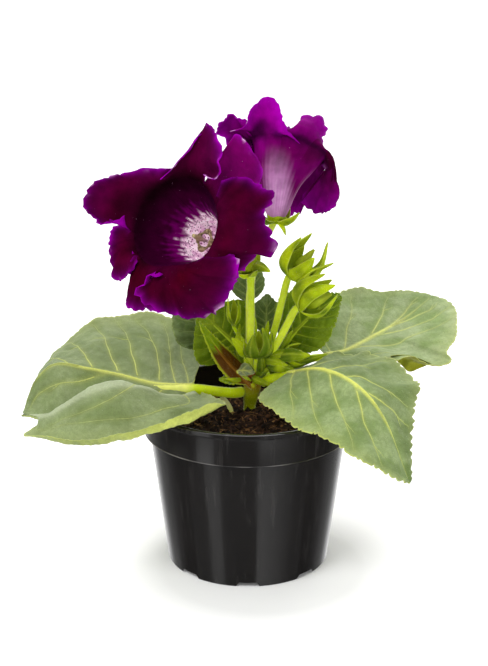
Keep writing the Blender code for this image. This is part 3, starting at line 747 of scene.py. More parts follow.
def small_leaf(name, petiole, tip, width, face, seed, arch=0.12, cup=0.15, radius=1.3,
               skew=0.8, pairs=5, tints="young", stations=80, across=18, hairs=500, **more):
    """An ovate young leaf: petiole's last place to tip, its upper side towards face."""
    start, end = np.array(petiole[-1], float), np.array(tip, float)
    length = np.linalg.norm(end - start)
    side = unit(np.cross(end - start, face))
    out = unit(np.cross(side, end - start))
    rib, left, right = [], [], []
    for t in np.linspace(0, 1, 7):
        middle = start + (end - start) * t + out * arch * length * math.sin(math.pi * t)
        half = width / 2 * (math.sin(math.pi * t**skew) + 0.06)
        raised = out * cup * half
        rib.append(middle)
        left.append(middle - side * half + raised)
        right.append(middle + side * half + raised)
    veins = [[(s, 0), (s + 0.07, 0.35), (s + 0.13, 0.65), (s + 0.2, 0.95)]
             for s in np.linspace(0.08, 0.74, pairs)]
    size = width / 60
    more.setdefault("teeth", (3.4, 0.8))
    leaf(name, petiole, [tuple(p) for p in rib], [left], [right], radius, [veins] * 2, seed,
         tints, stations, across, quilt=(0.4 + size, 0.2), ripple=0.35, up=face,
         band=0.5 + size, hairs=hairs, look=YOUNG, thickness=0.8, **more)


LEFT_MARGIN = [(-25, -8, 100), (-11, -38, 105), (-21, -47, 109), (-38, -55, 106),
               (-60, -61, 99), (-85, -62, 90), (-104, -56, 88), (-116, -44, 88),
               (-120.5, -29.5, 94)]
LEFT_BACK = [(-30, -2, 104), (-27, 25, 107), (-30, 46, 112), (-38, 60, 119), (-57, 66, 123),
             (-73, 62, 122), (-89, 55, 122), (-105, 36, 115), (-116, 6, 106),
             (-122.5, -22, 95)]
leaf(
    "leaf_left",
    petiole=[(-3.2, 6.4, 95), (-9, 2, 96), (-22, -2, 99)],
    rib=[(-31, -4, 103), (-51, -7, 105), (-71, -9, 111), (-88, -10, 115),
         (-105, -12, 118), (-116, -18, 110), (-122, -26, 95)],
    # The front half dips behind a raised fold, drops into a trough and turns up at the margin.
    left=[
        [(-30, -6, 100), (-36, -10, 98), (-46, -14, 98), (-56, -18, 101), (-68, -22, 104),
         (-80, -25, 103), (-92, -28, 99), (-103, -31, 96), (-113, -29, 95.5),
         (-121.5, -27.5, 95)],
        [(-29, -9, 101), (-36, -14, 101.5), (-46, -18, 103), (-54, -22, 108),
         (-66, -26, 112.5), (-76, -29, 112.5), (-87, -31, 109.5), (-98, -34, 104),
         (-106, -36, 98.5), (-110, -34, 96.5), (-116, -30, 95.5), (-121.5, -27.6, 95)],
        [(-26, -10, 99), (-22, -42, 102), (-40, -50, 98), (-64, -56, 93.5), (-85, -58, 91),
         (-104, -52, 90.5), (-112, -46, 91.5), (-111, -37, 94), (-116, -31, 94.5),
         (-121.5, -28, 94.7)],
        [(-25, -8, 100), (-11, -38, 105), (-21, -47, 107.5), (-38, -55, 103.6), (-60, -61, 97.6),
         (-85, -62, 93.6), (-101, -59, 93), (-111, -56, 92.3), (-117.5, -50, 91),
         (-115, -44, 92), (-110.8, -38, 94), (-111.5, -36, 95), (-116, -31.5, 94.5),
         (-121.5, -28, 94.8)],
    ],
    right=[LEFT_BACK],
    anchor=([[(-29, -8, 100), (-75, -30, 111), (-121.5, -28, 94.5)], LEFT_MARGIN],
            [LEFT_BACK]),
    radius=2.6,
    veins=[
        [[(0.03, 0), (0.06, 0.35), (0.12, 0.58), (0.28, 0.63), (0.39, 0.7), (0.5, 0.73),
          (0.61, 0.73), (0.73, 0.75), (0.84, 0.82)],
         [(0.2, 0), (0.3, 0.25), (0.42, 0.45), (0.55, 0.58), (0.68, 0.66), (0.8, 0.74)],
         [(0.53, 0), (0.56, 0.03), (0.66, 0.12), (0.76, 0.17), (0.87, 0.2), (0.95, 0.3)]],
        [[(0.03, 0), (0.11, 0.35), (0.24, 0.6), (0.33, 0.88)],
         [(0.14, 0), (0.29, 0.47), (0.37, 0.9)],
         [(0.26, 0), (0.34, 0.38), (0.45, 0.88)],
         [(0.38, 0), (0.44, 0.33), (0.47, 0.62), (0.51, 0.92)],
         [(0.48, 0), (0.53, 0.35), (0.55, 0.63), (0.59, 0.95)],
         [(0.6, 0), (0.63, 0.33), (0.66, 0.68), (0.69, 0.95)],
         [(0.7, 0), (0.74, 0.35), (0.77, 0.7), (0.79, 0.95)],
         [(0.8, 0), (0.84, 0.4), (0.87, 0.9)]],
    ],
    seed=11, hairs=1200, teeth=(4.4, 0.8), band=1.7, sway=1.2, painted_shade=(0.0, 0.12), crest_highlight=0.45,
    pale_foot=1.0,
)
RIGHT_FRONT_MARGIN = [(20, -9, 111), (6, -26, 105), (14, -45, 104), (27, -64, 101),
                      (38, -74, 101), (55, -86, 95), (71, -86, 85), (83.5, -77, 76)]
leaf(
    "leaf_right_front",
    petiole=[(8.6, 3.9, 102.5), (14, -0.5, 106)],
    rib=[(23, -6, 112), (41, -20, 118.5), (59, -38, 115), (73, -56, 101), (84, -76, 76)],
    left=[
        [(25, -3, 112), (34, 0, 114), (40, 4, 113.6), (45, 9, 117.2), (50, 13, 118),
         (55.4, 13, 115.3), (60, 11.6, 115.6), (66.3, 10, 118), (71.8, 8, 115.2),
         (80, 2, 116.6), (86.7, -5, 112.7), (90.4, -12, 109.7), (93, -20, 108.6),
         (90.6, -28, 105.4), (88.2, -42, 98.7), (85.5, -58, 88.1), (84.5, -74, 76.5)],
    ],
    anchor=([[(25, -3, 112), (41, 6, 114), (49, 14, 117), (67, 10, 118), (81, 0, 117),
              (93, -20, 109), (88, -42, 99), (85, -58, 88), (84.5, -74, 76.5)]],
            [RIGHT_FRONT_MARGIN]),
    right=[RIGHT_FRONT_MARGIN],
    radius=2.3,
    veins=[
        [[(0.08, 0), (0.1, 0.3), (0.14, 0.6), (0.18, 0.9)],
         [(0.2, 0), (0.22, 0.3), (0.26, 0.6), (0.3, 0.92)],
         [(0.34, 0), (0.355, 0.32), (0.38, 0.57), (0.42, 0.92)],
         [(0.45, 0), (0.48, 0.23), (0.54, 0.33), (0.62, 0.48), (0.7, 0.8)],
         [(0.57, 0), (0.66, 0.2), (0.74, 0.5), (0.79, 0.85)]],
        [[(0.08, 0), (0.14, 0.2), (0.26, 0.5), (0.3, 0.63), (0.37, 0.78), (0.42, 0.95)],
         [(0.21, 0), (0.24, 0.1), (0.35, 0.38), (0.45, 0.63), (0.55, 0.87), (0.58, 0.96)],
         [(0.36, 0), (0.39, 0.08), (0.46, 0.25), (0.56, 0.47), (0.66, 0.7), (0.72, 0.9)],
         [(0.53, 0), (0.56, 0.07), (0.61, 0.18), (0.68, 0.37), (0.76, 0.52), (0.84, 0.85)]],
    ],
    tints="fresh", seed=12, across=47, hairs=1200, teeth=(5.4, 2.4), band=2.0, sway=0.5,
    painted_shade=(0.2, 0.04),
)
leaf(
    "leaf_right_back",
    petiole=[(7.6, 11, 98), (15, 17, 102.5), (26, 24, 104.4), (36, 31, 106)],
    rib=[(45, 36, 107.6), (57, 41, 108), (74.4, 54, 112.8), (91.6, 68, 118), (104.9, 79, 125),
         (110, 84, 128)],
    left=[
        [(45, 36, 107.6), (41.5, 43, 107.5), (38, 52, 110), (38, 66, 117), (42, 78, 125),
         (49, 82, 128), (58, 88, 129.5), (68.3, 89, 130.6), (78.7, 88, 129.2),
         (94.8, 88, 129.4), (109, 85, 128.2)],
    ],
    right=[
        [(46, 35, 107.4), (60, 20, 107.4), (77, 14, 109.4), (90, 12, 114.1), (96.4, 12, 112.3),
         (102.5, 13, 109.3), (108.6, 15, 107.6), (113.7, 18, 107.6), (115.6, 22, 108.8),
         (113, 26, 111.6), (115.4, 32, 113.8), (119, 39, 115.7), (121.5, 47, 118.2),
         (122.1, 58, 121.4), (122.6, 66, 123.7), (121.6, 75, 126), (118.4, 80, 126.8),
         (111, 84, 128)],
    ],
    anchor=([[(57, 40, 107), (46, 58, 112), (45, 76, 122), (56, 84, 128),
              (75, 88, 130), (98, 88, 129), (117, 85, 126.5)]],
            [[(57, 40, 107), (60, 20, 107.4), (77, 14, 109), (91, 12, 107.5),
              (108, 15, 107), (117, 24, 109), (122, 46, 118), (123, 66, 123),
              (119, 83, 126)]]),
    radius=2.2,
    veins=[
        [[(0.08, 0), (0.14, 0.3), (0.2, 0.6), (0.25, 0.9)],
         [(0.22, 0), (0.35, 0.25), (0.5, 0.53), (0.58, 0.85)],
         [(0.47, 0), (0.6, 0.18), (0.68, 0.37), (0.77, 0.8)],
         [(0.64, 0), (0.8, 0.15), (0.92, 0.5)]],
        [[(0.05, 0), (0.13, 0.2), (0.24, 0.45), (0.36, 0.62), (0.47, 0.88)],
         [(0.29, 0), (0.33, 0.05), (0.47, 0.25), (0.61, 0.42), (0.74, 0.68), (0.8, 0.92)],
         [(0.52, 0), (0.55, 0.03), (0.7, 0.28), (0.84, 0.62), (0.9, 0.92)],
         [(0.7, 0), (0.82, 0.2), (0.92, 0.5)]],
    ],
    tints="pale", seed=13, stations=170, across=45, hairs=1000, band=1.9, sway=0.3,
)


def leaf_turn():
    """The olive underside of the back leaf's near margin, where it is turned under."""
    top = smooth(mm([(80.5, 17, 112.6), (85.9, 16.5, 113.6), (90.3, 15.5, 113.6),
                     (96.5, 14.5, 112.0), (103, 15.5, 108.8)]), 40)
    low = smooth(mm([(80.8, 17.4, 112), (84, 18.5, 109.5), (87.1, 20, 106.2),
                     (91.8, 22, 101.6), (96.6, 20, 104), (103, 16, 108.5)]), 40)
    share = np.linspace(0, 1, 18)[:, None, None]
    grid = top * (1 - share) + low * share
    grid[..., 1] += 2.0 * MM * np.sin(math.pi * share[..., 0])
    grid[..., 1] += 0.25 * MM * waves(grid, 5, 131)
    half = mm((0, 0.3, 0))
    points, faces = close_grid(grid - half, grid + half)
    blotch = patches(points, 6, 132)
    piece = Piece("leaf_right_back_turn")
    piece.add(points, faces, mix(srgb(112, 118, 0), srgb(150, 154, 30), blotch))
    piece.make([LEAF], "leaf_green", weld=WELD)


leaf_turn()

for given in (
        dict(name="leaf_upper_right", petiole=[(8.0, 13.2, 105), (13, 17, 109), (19, 19, 117)],
             tip=(52, 26, 146), width=38, face=(-0.45, -0.75, 0.45), seed=21, pairs=6,
             stations=120, across=26, hairs=700, teeth=(3.6, 1.5)),
        dict(name="leaf_upper_left", petiole=[(-0.4, 14.2, 105), (-1, 19, 109), (-1, 22, 117)],
             tip=(-25, 25, 139), width=43, face=(0.2, -0.9, 0.3), seed=22, arch=0.06,
             stations=115, across=26, hairs=600),
        dict(name="leaf_folded", petiole=[(1.5, 6, 97), (2.2, 3, 99.5), (2.7, 0, 101.5)],
             tip=(-26.5, 1, 138), width=13, face=(0.62, -0.75, 0.2), seed=23, arch=-0.09,
             cup=-0.25, radius=1.4, skew=0.55, tints="brown", outer="bright", hairs=600,
             teeth=(2.6, 0.9), settle=False),
        dict(name="leaf_behind_stalks", petiole=[(2.5, 14, 103), (2, 24, 116), (0, 29, 140)],
             tip=(-1, 33, 168), width=18, face=(0.1, -0.9, 0.3), seed=24, radius=1.2,
             tints="dark", slot="leaf_green"),
        dict(name="leaf_back_right", petiole=[(6, 13.4, 101), (9, 25, 108), (10, 32, 121)],
             tip=(11, 38, 143), width=20, face=(0.0, -0.9, 0.35), seed=25, tints="dark",
             slot="leaf_green", settle=False),
        dict(name="leaf_back_left", petiole=[(-2, 12.2, 99), (-10, 24, 104), (-20, 34, 112)],
             tip=(-42, 42, 140), width=34, face=(0.35, -0.8, 0.5), seed=26, radius=1.4,
             tints="dark", slot="leaf_green"),
        dict(name="leaflet_front", petiole=[(1, 2.2, 103), (-2, 0, 106.5), (-5.6, -3.5, 111)],
             tip=(3.6, -6, 110.6), width=7, face=(0.1, -0.75, 0.6), seed=27, arch=0.22,
             cup=0.5, radius=0.9, pairs=3, stations=60, across=16, hairs=700, tints="sage",
             teeth=(2.0, 0.4), settle=False),
        dict(name="leaflet_left", petiole=[(-2.6, 5.2, 100.2), (-5, 3.5, 101), (-8, 2, 102)],
             tip=(-16, 0, 105), width=5, face=(0.1, -0.6, 0.8), seed=28, radius=0.8, pairs=3,
             stations=50, across=12, hairs=250, tints="bright", teeth=(2.4, 0.3))):
    small_leaf(**{"slot": "young_leaf_green", **given})

# ---------------------------------------------------------------- stalks and calyces


def stalk(name, places, radii, seed, rings=70, hairs=1500, tint=srgb(176, 200, 2), foot=None,
          head=None, tail=()):
    """A hairy, faintly fluted stalk.

    foot and head are the tints of its ends, and tail runs on inside the calyx that it bears.
    """
    sides = 22
    tube = (np.array(radii) * MM, sides, 0.035, 4, seed)
    offset = to_node(name, tube_parts(smooth(mm(places), rings), *tube)[0])
    points, faces, out = tube_parts(smooth(mm([*places, *tail]), rings), *tube)
    share = np.linspace(0, 1, rings).repeat(sides)
    colour = mix(tint, srgb(214, 226, 60), 0.35 + 0.3 * waves(points, 20, seed))
    if foot is not None:
        colour = mix(foot, colour, ease(share * 3.0))
    if head is not None:
        colour = mix(colour, head, ease((share - 0.5) * 2.6))
    piece = Piece(name + "_skin")
    piece.add(points, faces, colour)
    add_hairs(piece, points, out, hairs, 1.0, 0.045, seed + 5)
    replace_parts(piece.make([STALK, HAIR], "stalk_green", offset), name)


def sepal(piece, foot, tip, width, out, seed, arch, shade, hairs, cup=0.5, rows=28,
          columns=15, curl=0.0, fade=0.35):
    """One boat-shaped, keeled, pointed sepal or bract from foot to tip, its back to out."""
    foot, tip = np.array(foot, float) * MM, np.array(tip, float) * MM
    ahead = unit(tip - foot)
    length = np.linalg.norm(tip - foot)
    out = unit(out - ahead * np.dot(out, ahead))
    side = np.cross(ahead, out)
    t, u = np.linspace(0, 1, rows)[:, None], np.linspace(-1, 1, columns)[None, :]
    off, middle = np.abs(u), columns // 2
    half = width / 2 * MM * (np.sin(math.pi * np.minimum(1, t**0.75 * 0.9 + 0.1)) ** 0.75
                             * (1 - 0.35 * t) + 0.03)
    bulge = length * (arch * np.sin(math.pi * t**0.75) + curl * t**3)
    wavy = 0.07 * np.sin(9 * t + seed) * off * ease(t * 2)
    base = foot + t * (tip - foot) + bulge * out
    reach = np.sin(u * 1.25) / math.sin(1.25)
    drop = cup * u**2 - 0.13 * np.exp(-((u / 0.16) ** 2)) - wavy
    grid = base[:, None] + half[..., None] * (reach[..., None] * side - drop[..., None] * out)
    normal = grid_normals(grid)
    if (normal[rows // 2, middle] @ out) < 0:
        normal = -normal
    thick = normal * (0.38 * MM * (1 - 0.5 * off**3))[..., None]
    outer = grid + thick
    rib = np.exp(-((u / 0.12) ** 2)) + 0 * t
    veins = 0.5 + 0.5 * np.cos(u * 11 + 3 * t)
    # Painted light and shade: shade lightens or darkens the whole sepal for how the light falls
    # on it.
    light = ease(0.45 + shade + 0.3 * waves(grid, 9, seed) + fade * (t - 0.4))
    colour = coats(srgb(82, 112, 0), (srgb(184, 206, 0), light),
                   (srgb(196, 212, 60), 0.35 * rib + 0.1 * veins),
                   (srgb(210, 220, 90), 0.5 * ease((off - 0.85) / 0.15)))
    within = mix(srgb(112, 136, 0), srgb(168, 186, 30), ease(0.3 + 0.7 * t) + 0 * u)
    piece.add_sheet(outer, grid - thick, colour, within)
    add_hairs(piece, outer.reshape(-1, 3), normal.reshape(-1, 3), hairs, 0.5, 0.025, seed)
    edges = np.vstack([outer[:, 0], outer[:, -1], outer[:, middle]])
    away = np.vstack([unit(grid[:, 0] - grid[:, 2]), unit(grid[:, -1] - grid[:, -3]),
                      normal[:, middle]])
    add_hairs(piece, edges, away, hairs, 0.6, 0.025, seed + 9)


def calyx_cup(piece, foot, ahead, radius, depth, tint, seed):
    """The short solid cup that sepals grow from, and the boss that seats it on its stalk."""
    foot, ahead = np.array(foot, float) * MM, unit(ahead)
    path = foot + np.linspace(-0.3, depth, 14)[:, None] * MM * ahead
    points, faces, out = tube_parts(path, np.array([0.6, 1.0, 1.12, 1.05, 0.7]) * radius * MM,
                                    20, 0.07, 5, seed)
    piece.add(points, faces, tint)
    add_hairs(piece, points, out, 120, 0.5, 0.025, seed + 2)


def calyx(name, foot, ahead, radius, depth, sepals, seed, shade=0.0, hairs=130):
    """A cup with its sepals; each sepal is (tip, width, arch) and faces out from the cup."""
    foot, ahead = np.array(foot, float), unit(ahead)
    piece = Piece(name + "_sepals")
    calyx_cup(piece, foot, ahead, radius, depth, srgb(146, 168, 8), seed)
    for index, (tip, width, arch) in enumerate(sepals):
        tip = np.array(tip, float)
        out = tip - foot
        out = out - ahead * np.dot(out, ahead)
        start = foot + ahead * 0.9 + unit(out) * radius * 0.55
        sepal(piece, start, tip, width, unit(out), seed + index, arch, shade, hairs)
    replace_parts(piece.make([YOUNG, HAIR], "young_leaf_green", weld=WELD), name)


def petals_in_bud(name, path, radii, seed):
    """Unopened petals rolled together, still green, and yellower at the tip."""
    rings, sides = 30, 20
    points, faces, _ = tube_parts(smooth(mm(path), rings), np.array(radii) * MM, sides, 0.1, 5,
                                  seed)
    share = np.linspace(0, 1, rings).repeat(sides)
    piece = Piece(name + "_rolled")
    piece.add(points, faces, mix(srgb(140, 164, 10), srgb(168, 184, 50), ease(share * 1.3)))
    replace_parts(piece.make([PETAL], "petal_purple", to_node(name, points)), name)


def bud(name, places, radius, tip, width, sepals, seed, shade, core=False):
    """A bud on its stalk. core is for a larger one, whose petals show between its sepals."""
    end, before, tip = (np.array(place, float) for place in (places[-1], places[-2], tip))
    ahead = unit(tip - end)
    tilt = np.linalg.norm(np.cross(unit(end - before), ahead))
    foot = end + ahead * (0.9 + radius * tilt)
    half = width / 2
    stalk(f"{name}_stalk", places, [radius] * 2, seed, rings=50, hairs=1100 if core else 350,
          tail=[tuple(foot + ahead * 1.5)])
    calyx(f"{name}_calyx", foot, ahead, radius * 1.25, half * 0.5, sepals, seed + 3, shade,
          hairs=130 if core else 50)
    if core:
        inner = [foot + ahead * 0.85, *(foot + (tip - end) * t for t in (0.3, 0.5, 0.66))]
        petals_in_bud(f"{name}_petals", inner, [1.0, half * 0.42, half * 0.3, 0.7], seed)


bud("bud_upper", [(6.6, 11, 108.7), (11, 11.8, 117), (16, 12, 135), (21.6, 12, 158.6)],
    2.0, (40, 11, 181), 16,
    [((29, 8, 184), 12, 0.3), ((35, 17, 184), 12, 0.24), ((43.5, 11, 180.5), 13, 0.3),
     ((36, 3, 174), 12, 0.3), ((31, 20, 176), 12, 0.3)], 41, 0.2, core=True)
bud("bud_front", [(6.6, 5.4, 108.7), (12, 2, 118), (19, -1, 132), (25.5, -2, 145.5)],
    2.1, (50, -5, 158), 17,
    [((46.5, 3, 171), 13, 0.3), ((41.5, -8, 168), 13, 0.34), ((47, -9, 162), 12, 0.3),
     ((48.5, -5, 155.5), 12, 0.3), ((46, 8, 160), 12, 0.3)], 42, 0.15, core=True)
bud("bud_small_centre", [(3.6, 2.6, 108.9), (4, 0, 112), (4.4, -1.5, 116)],
    1.1, (4.5, -1, 128), 7.5,
    [((8, -3, 136), 9, 0.34), ((3, -4, 132), 9, 0.36), ((13, 0, 132), 8, 0.34),
     ((-2, 1, 128), 7, 0.34), ((6, 4, 132), 8, 0.3)], 43, -0.25)
bud("bud_small_right", [(9.7, 9, 106), (14, 7.5, 110), (19, 5, 116)],
    1.1, (33, 3, 124), 8,
    [((29, 5, 124), 8, 0.24), ((34, -2, 120.5), 11, 0.26), ((29, -4, 115), 9, 0.24),
     ((28, 8, 119), 8, 0.24), ((32, 6, 116), 7, 0.24)], 44, 0.2)
bud("bud_small_back", [(3.0, 13.4, 108.9), (-1.6, 17, 119), (-7.6, 14.5, 130)],
    1.0, (-8.4, 13, 145), 6.5,
    [((-11, 12, 148), 4, 0.1), ((-5.5, 12, 147), 4, 0.1), ((-11.5, 14, 143), 3.5, 0.15),
     ((-4.5, 16, 143), 3.5, 0.15), ((-8, 17, 146), 5, 0.3)], 45, 0.1)

stalk("main_stem", [(0.5, 8, 76), (1, 8, 88), (2.4, 8, 98), (3, 8, 108)],
      [3.4, 3.2, 4.6, 5.8], 46, rings=50, hairs=500, tint=srgb(112, 120, 0),
      foot=srgb(116, 118, 40), head=srgb(128, 66, 24))
stalk("old_petiole_stub", [(-9.4, 5.5, 79.8), (-9.6, 5, 84), (-12, 4, 90), (-15, 3.4, 93)],
      [1.4, 1.4, 1.4 * 0.7], 47, rings=30, hairs=60, tint=srgb(190, 188, 128))
stalk("flower_1_stalk", [(0.8, 4.9, 108.7), (1.2, 4.4, 124), (1.6, 4.4, 146),
                         (1.2, 4.6, 166)], [2.0, 2.0, 2.1], 48, tail=[(1.1, 4.5, 170)])
stalk("flower_2_stalk", [(0.2, 9.8, 108.7), (1.4, 11.5, 125), (1.9, 14, 150), (6.5, 19, 172),
                         (14.2, 24.2, 186.0)], [1.8, 1.8, 1.9], 49, rings=90,
      tint=srgb(190, 206, 70), tail=[(15.4, 25.2, 190)])
calyx("flower_1_calyx", (1.1, 4.5, 167.7), (-0.6, -0.5, 1), 5.2, 6,
      [((-5, -5, 167), 8, 0.34), ((12, -5, 168.5), 8, 0.3), ((3, -8, 169), 8, 0.3),
       ((-12, 2, 176), 9, 0.25), ((-5, 13, 178), 9, 0.25), ((6, 10, 175), 9, 0.25)], 50)
calyx("flower_2_calyx", (15.2, 24.9, 187.7), (0.2, 0.2, 1), 5.0, 6,
      [((28, 16, 196), 8, 0.2), ((20.5, 15, 183.5), 4, 0.15), ((6, 17, 195), 8, 0.25),
       ((4, 31, 197), 8, 0.25), ((23, 35, 197), 8, 0.25)], 51)

# Small bracts crowd the crown between the stalks; each one's shade level is painted light and
# shade, and the one at 1.3 is a painted sunlit patch.
crown = Piece("crown_bracts")
for number, (start, tip, width, shade) in enumerate([
        ((7, 4, 108.5), (15, 0, 122), 6, -0.1), ((11, 2, 117), (29.5, -1, 122), 5.5, 0.15),
        ((17, -1, 119), (34.5, -3, 119.3), 8.5, -0.2), ((9, 1, 116), (21.5, -6, 115.5), 6, 0.1),
        ((11, -1, 114), (26.5, -5, 111.5), 7.5, 0.05), ((12, 5, 108), (44, 6, 117.5), 7, -0.2),
        ((2.5, 0, 106), (13.2, -4.5, 102.4), 4.5, 0.2), ((2, 1.5, 108), (-2, -3, 119), 5, 0.0),
        ((0, 4, 118), (-9.5, 0, 129.5), 8, 1.3),
        ((3, 9, 109), (12, 12, 134), 8, -0.1), ((2, 10, 109), (4, 15, 136), 9, -0.15),
        ((8.5, 9, 108), (24, 13, 130), 9, -0.15), ((-1, 10, 108.5), (-6, 13, 132), 8, -0.15),
        ((4, 13, 108), (8, 21, 128), 9, -0.2), ((6, 5, 108), (19, 6, 133), 7, -0.05),
        ((7, 2, 108), (7, -3, 123), 6, -0.2), ((-2, 4, 103), (-12.5, -1, 105.5), 4, 0.1),
        ((13, 1, 111), (32, 0, 114), 6, -0.35),
        ((5, 3, 106), (12, -2, 112.5), 5, 0.1)]):
    middle = (np.array(start) + tip) / 2
    facing = unit(middle - (3, 8, 118)) * 0.8 + (0, -0.8, 0.7)
    sepal(crown, start, tip, width, facing, 90 + number, 0.18, shade - 0.15, 110, cup=0.3,
          rows=24, columns=13, curl=0.1 * (number % 3 - 1), fade=0.9)
crown.make([YOUNG, HAIR], "young_leaf_green", weld=WELD)

# ---------------------------------------------------------------- flowers


def lobe_grid(ring, centre, axis, edge, rows):
    """Rows of points of one petal lobe, from its arc of the mouth out to its edge."""
    edge = smooth(mm(edge), len(ring))
    radial = unit(ring - centre)
    slope = math.radians(48)
    wall = math.cos(slope) * axis + math.sin(slope) * radial
    bend = ring + wall * 0.42 * np.linalg.norm(edge - ring, axis=1)[:, None]
    s = np.linspace(0, 1, rows)[:, None, None]
    return (1 - s) ** 2 * ring + 2 * s * (1 - s) * bend + s**2 * edge


def corolla(name, throat, radii, lobes, frills, light, outer_tint, seed, dent=(0, 0, 1)):
    """A velvety bell: a throat that opens into folded lobes.

    frills gives how frilly each lobe is at its start, middle and end, light how far its
    face is lit up towards magenta, and dent where the mouth is pressed in: towards which
    angle, by what share and how widely.
    """
    bell_rows, rows, columns = 36, 38, 54
    path, mouth = smooth(mm(throat), bell_rows), smooth(mm(throat), 12)
    centre, axis = mouth[-1], unit(mouth[-1] - mouth[-2])
    right = unit(np.cross((0, 0, 1), axis))
    tangents = unit(np.gradient(path, axis=0))
    level = unit(right - tangents * (tangents @ right)[:, None])
    rise = np.cross(tangents, level)
    radius = smooth([(12 * i, r, 0) for i, r in enumerate(radii)], bell_rows)[:, 1] * MM
    toward, depth, width = dent
    opening = ease(np.linspace(-1, 1, bell_rows))[:, None]
    up_bell = np.append(np.linspace(0, 1, bell_rows), np.ones(rows - 1))
    up_lobe = np.append(np.zeros(bell_rows - 1), np.arange(rows) / (rows - 1))
    s, v = np.meshgrid(up_lobe, np.linspace(0, 1, columns), indexing="ij")
    along = up_bell[:, None] + 0 * v
    from_side = np.minimum(v, 1 - v)
    on_lobe = s > 0
    plain, piece = [], Piece(name + "_velvet")
    for number, (start, end, edge) in enumerate(lobes):
        angles = np.radians(np.linspace(start, end, columns))
        dented = 1 - depth * opening * np.exp(-(((np.degrees(angles) - toward) / width) ** 2))
        bell = path[:, None] + (radius[:, None] * dented)[..., None] * (
            np.cos(angles)[:, None] * level[:, None] + np.sin(angles)[:, None] * rise[:, None])
        grid = np.vstack([bell, lobe_grid(bell[-1], centre, axis, edge, rows)[1:]])
        plain.append(grid)
        normal = grid_normals(grid)
        if (normal * (centre + axis * 12 * MM - grid))[:bell_rows].sum() < 0:
            normal = -normal
        run = length_along(grid[-1])
        size = np.linalg.norm(grid[-1] - grid[bell_rows - 1], axis=1)
        to_rim = (1 - s) * size
        to_side = from_side * run[-1] * np.maximum(s, 0.2)

        # Folds run in from the rim, which is ruffled, crinkled, scalloped and partly rolled.
        def line(wave, shift):
            return wave_line(run, wave, seed + number + shift)

        far = np.exp(-to_rim / (13 * MM)) * on_lobe
        near = np.exp(-to_rim / (4.5 * MM)) * on_lobe
        keep = ease(from_side * 9) * np.interp(v, (0, 0.5, 1), frills[number])
        jitter = run + 1.5 * MM * line(11, 75)
        scallop = np.abs(np.sin(math.pi * jitter / (7.5 * MM))) ** 0.8 - 0.6
        side = line(24, 15)
        lift = keep * (1.5 * far * line(15, 90) + 1.1 * near * line(8, 0)
                       + 0.5 * near**2 * line(3.2, 30))
        roll = 2.0 * keep * ease(1 - to_rim / (3.4 * MM)) * on_lobe * np.clip(side, -1, 1)
        push = keep * (0.8 * near * scallop + 0.55 * near**2.5 * line(2.3, 60)
                       - 0.4 * near * np.abs(side))
        bumps = 0.3 * waves(grid, 9, seed) + 0.7 * waves(grid, 20, seed + 1)
        crease = np.exp(-(((v - 0.5) * size / (2.2 * MM)) ** 2)) * ease(s * 5)
        ribs = (0.14 * np.sin(angles * 26) * ease(s * 4) - 0.5 * crease) * (1 - near)
        outward = unit(np.gradient(grid, axis=0))
        grid = grid + MM * (normal * (lift + bumps * ease(s * 2) * keep + ribs + roll)[..., None]
                            + outward * push[..., None])

        facts = dict(number=number, light=light[number], along=along, s=s, to_rim=to_rim,
                     to_side=to_side, angle=angles + 0 * s, place=grid, seed=seed,
                     edge=0.5 + 0.5 * line(12, 45))
        tint_in, speck = inner_tint(**facts)
        tint_out, pale = outer_tint(**facts)
        zero = 0 * s
        turn = [14 * np.cos(angles) + zero, 14 * np.sin(angles) + zero, (along + s) * 1.2]
        marks = [np.dstack([*pair, *turn]).reshape(-1, 5)
                 for pair in ((zero, speck), (pale, zero))]
        thick = normal * ((0.42 - 0.2 * s) * MM)[..., None]
        piece.add_sheet(grid + thick, grid - thick, tint_in, tint_out, np.vstack(marks))
    made = piece.make([PETAL], "petal_purple", to_node(name, np.array(plain)))
    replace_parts(made, name)


WINE, PLUM, MOUTH_SHADOW = srgb(60, 0, 15), srgb(58, 0, 38), srgb(20, 0, 8)
VIOLET, MAGENTA = srgb(158, 4, 170), srgb(112, 0, 88)


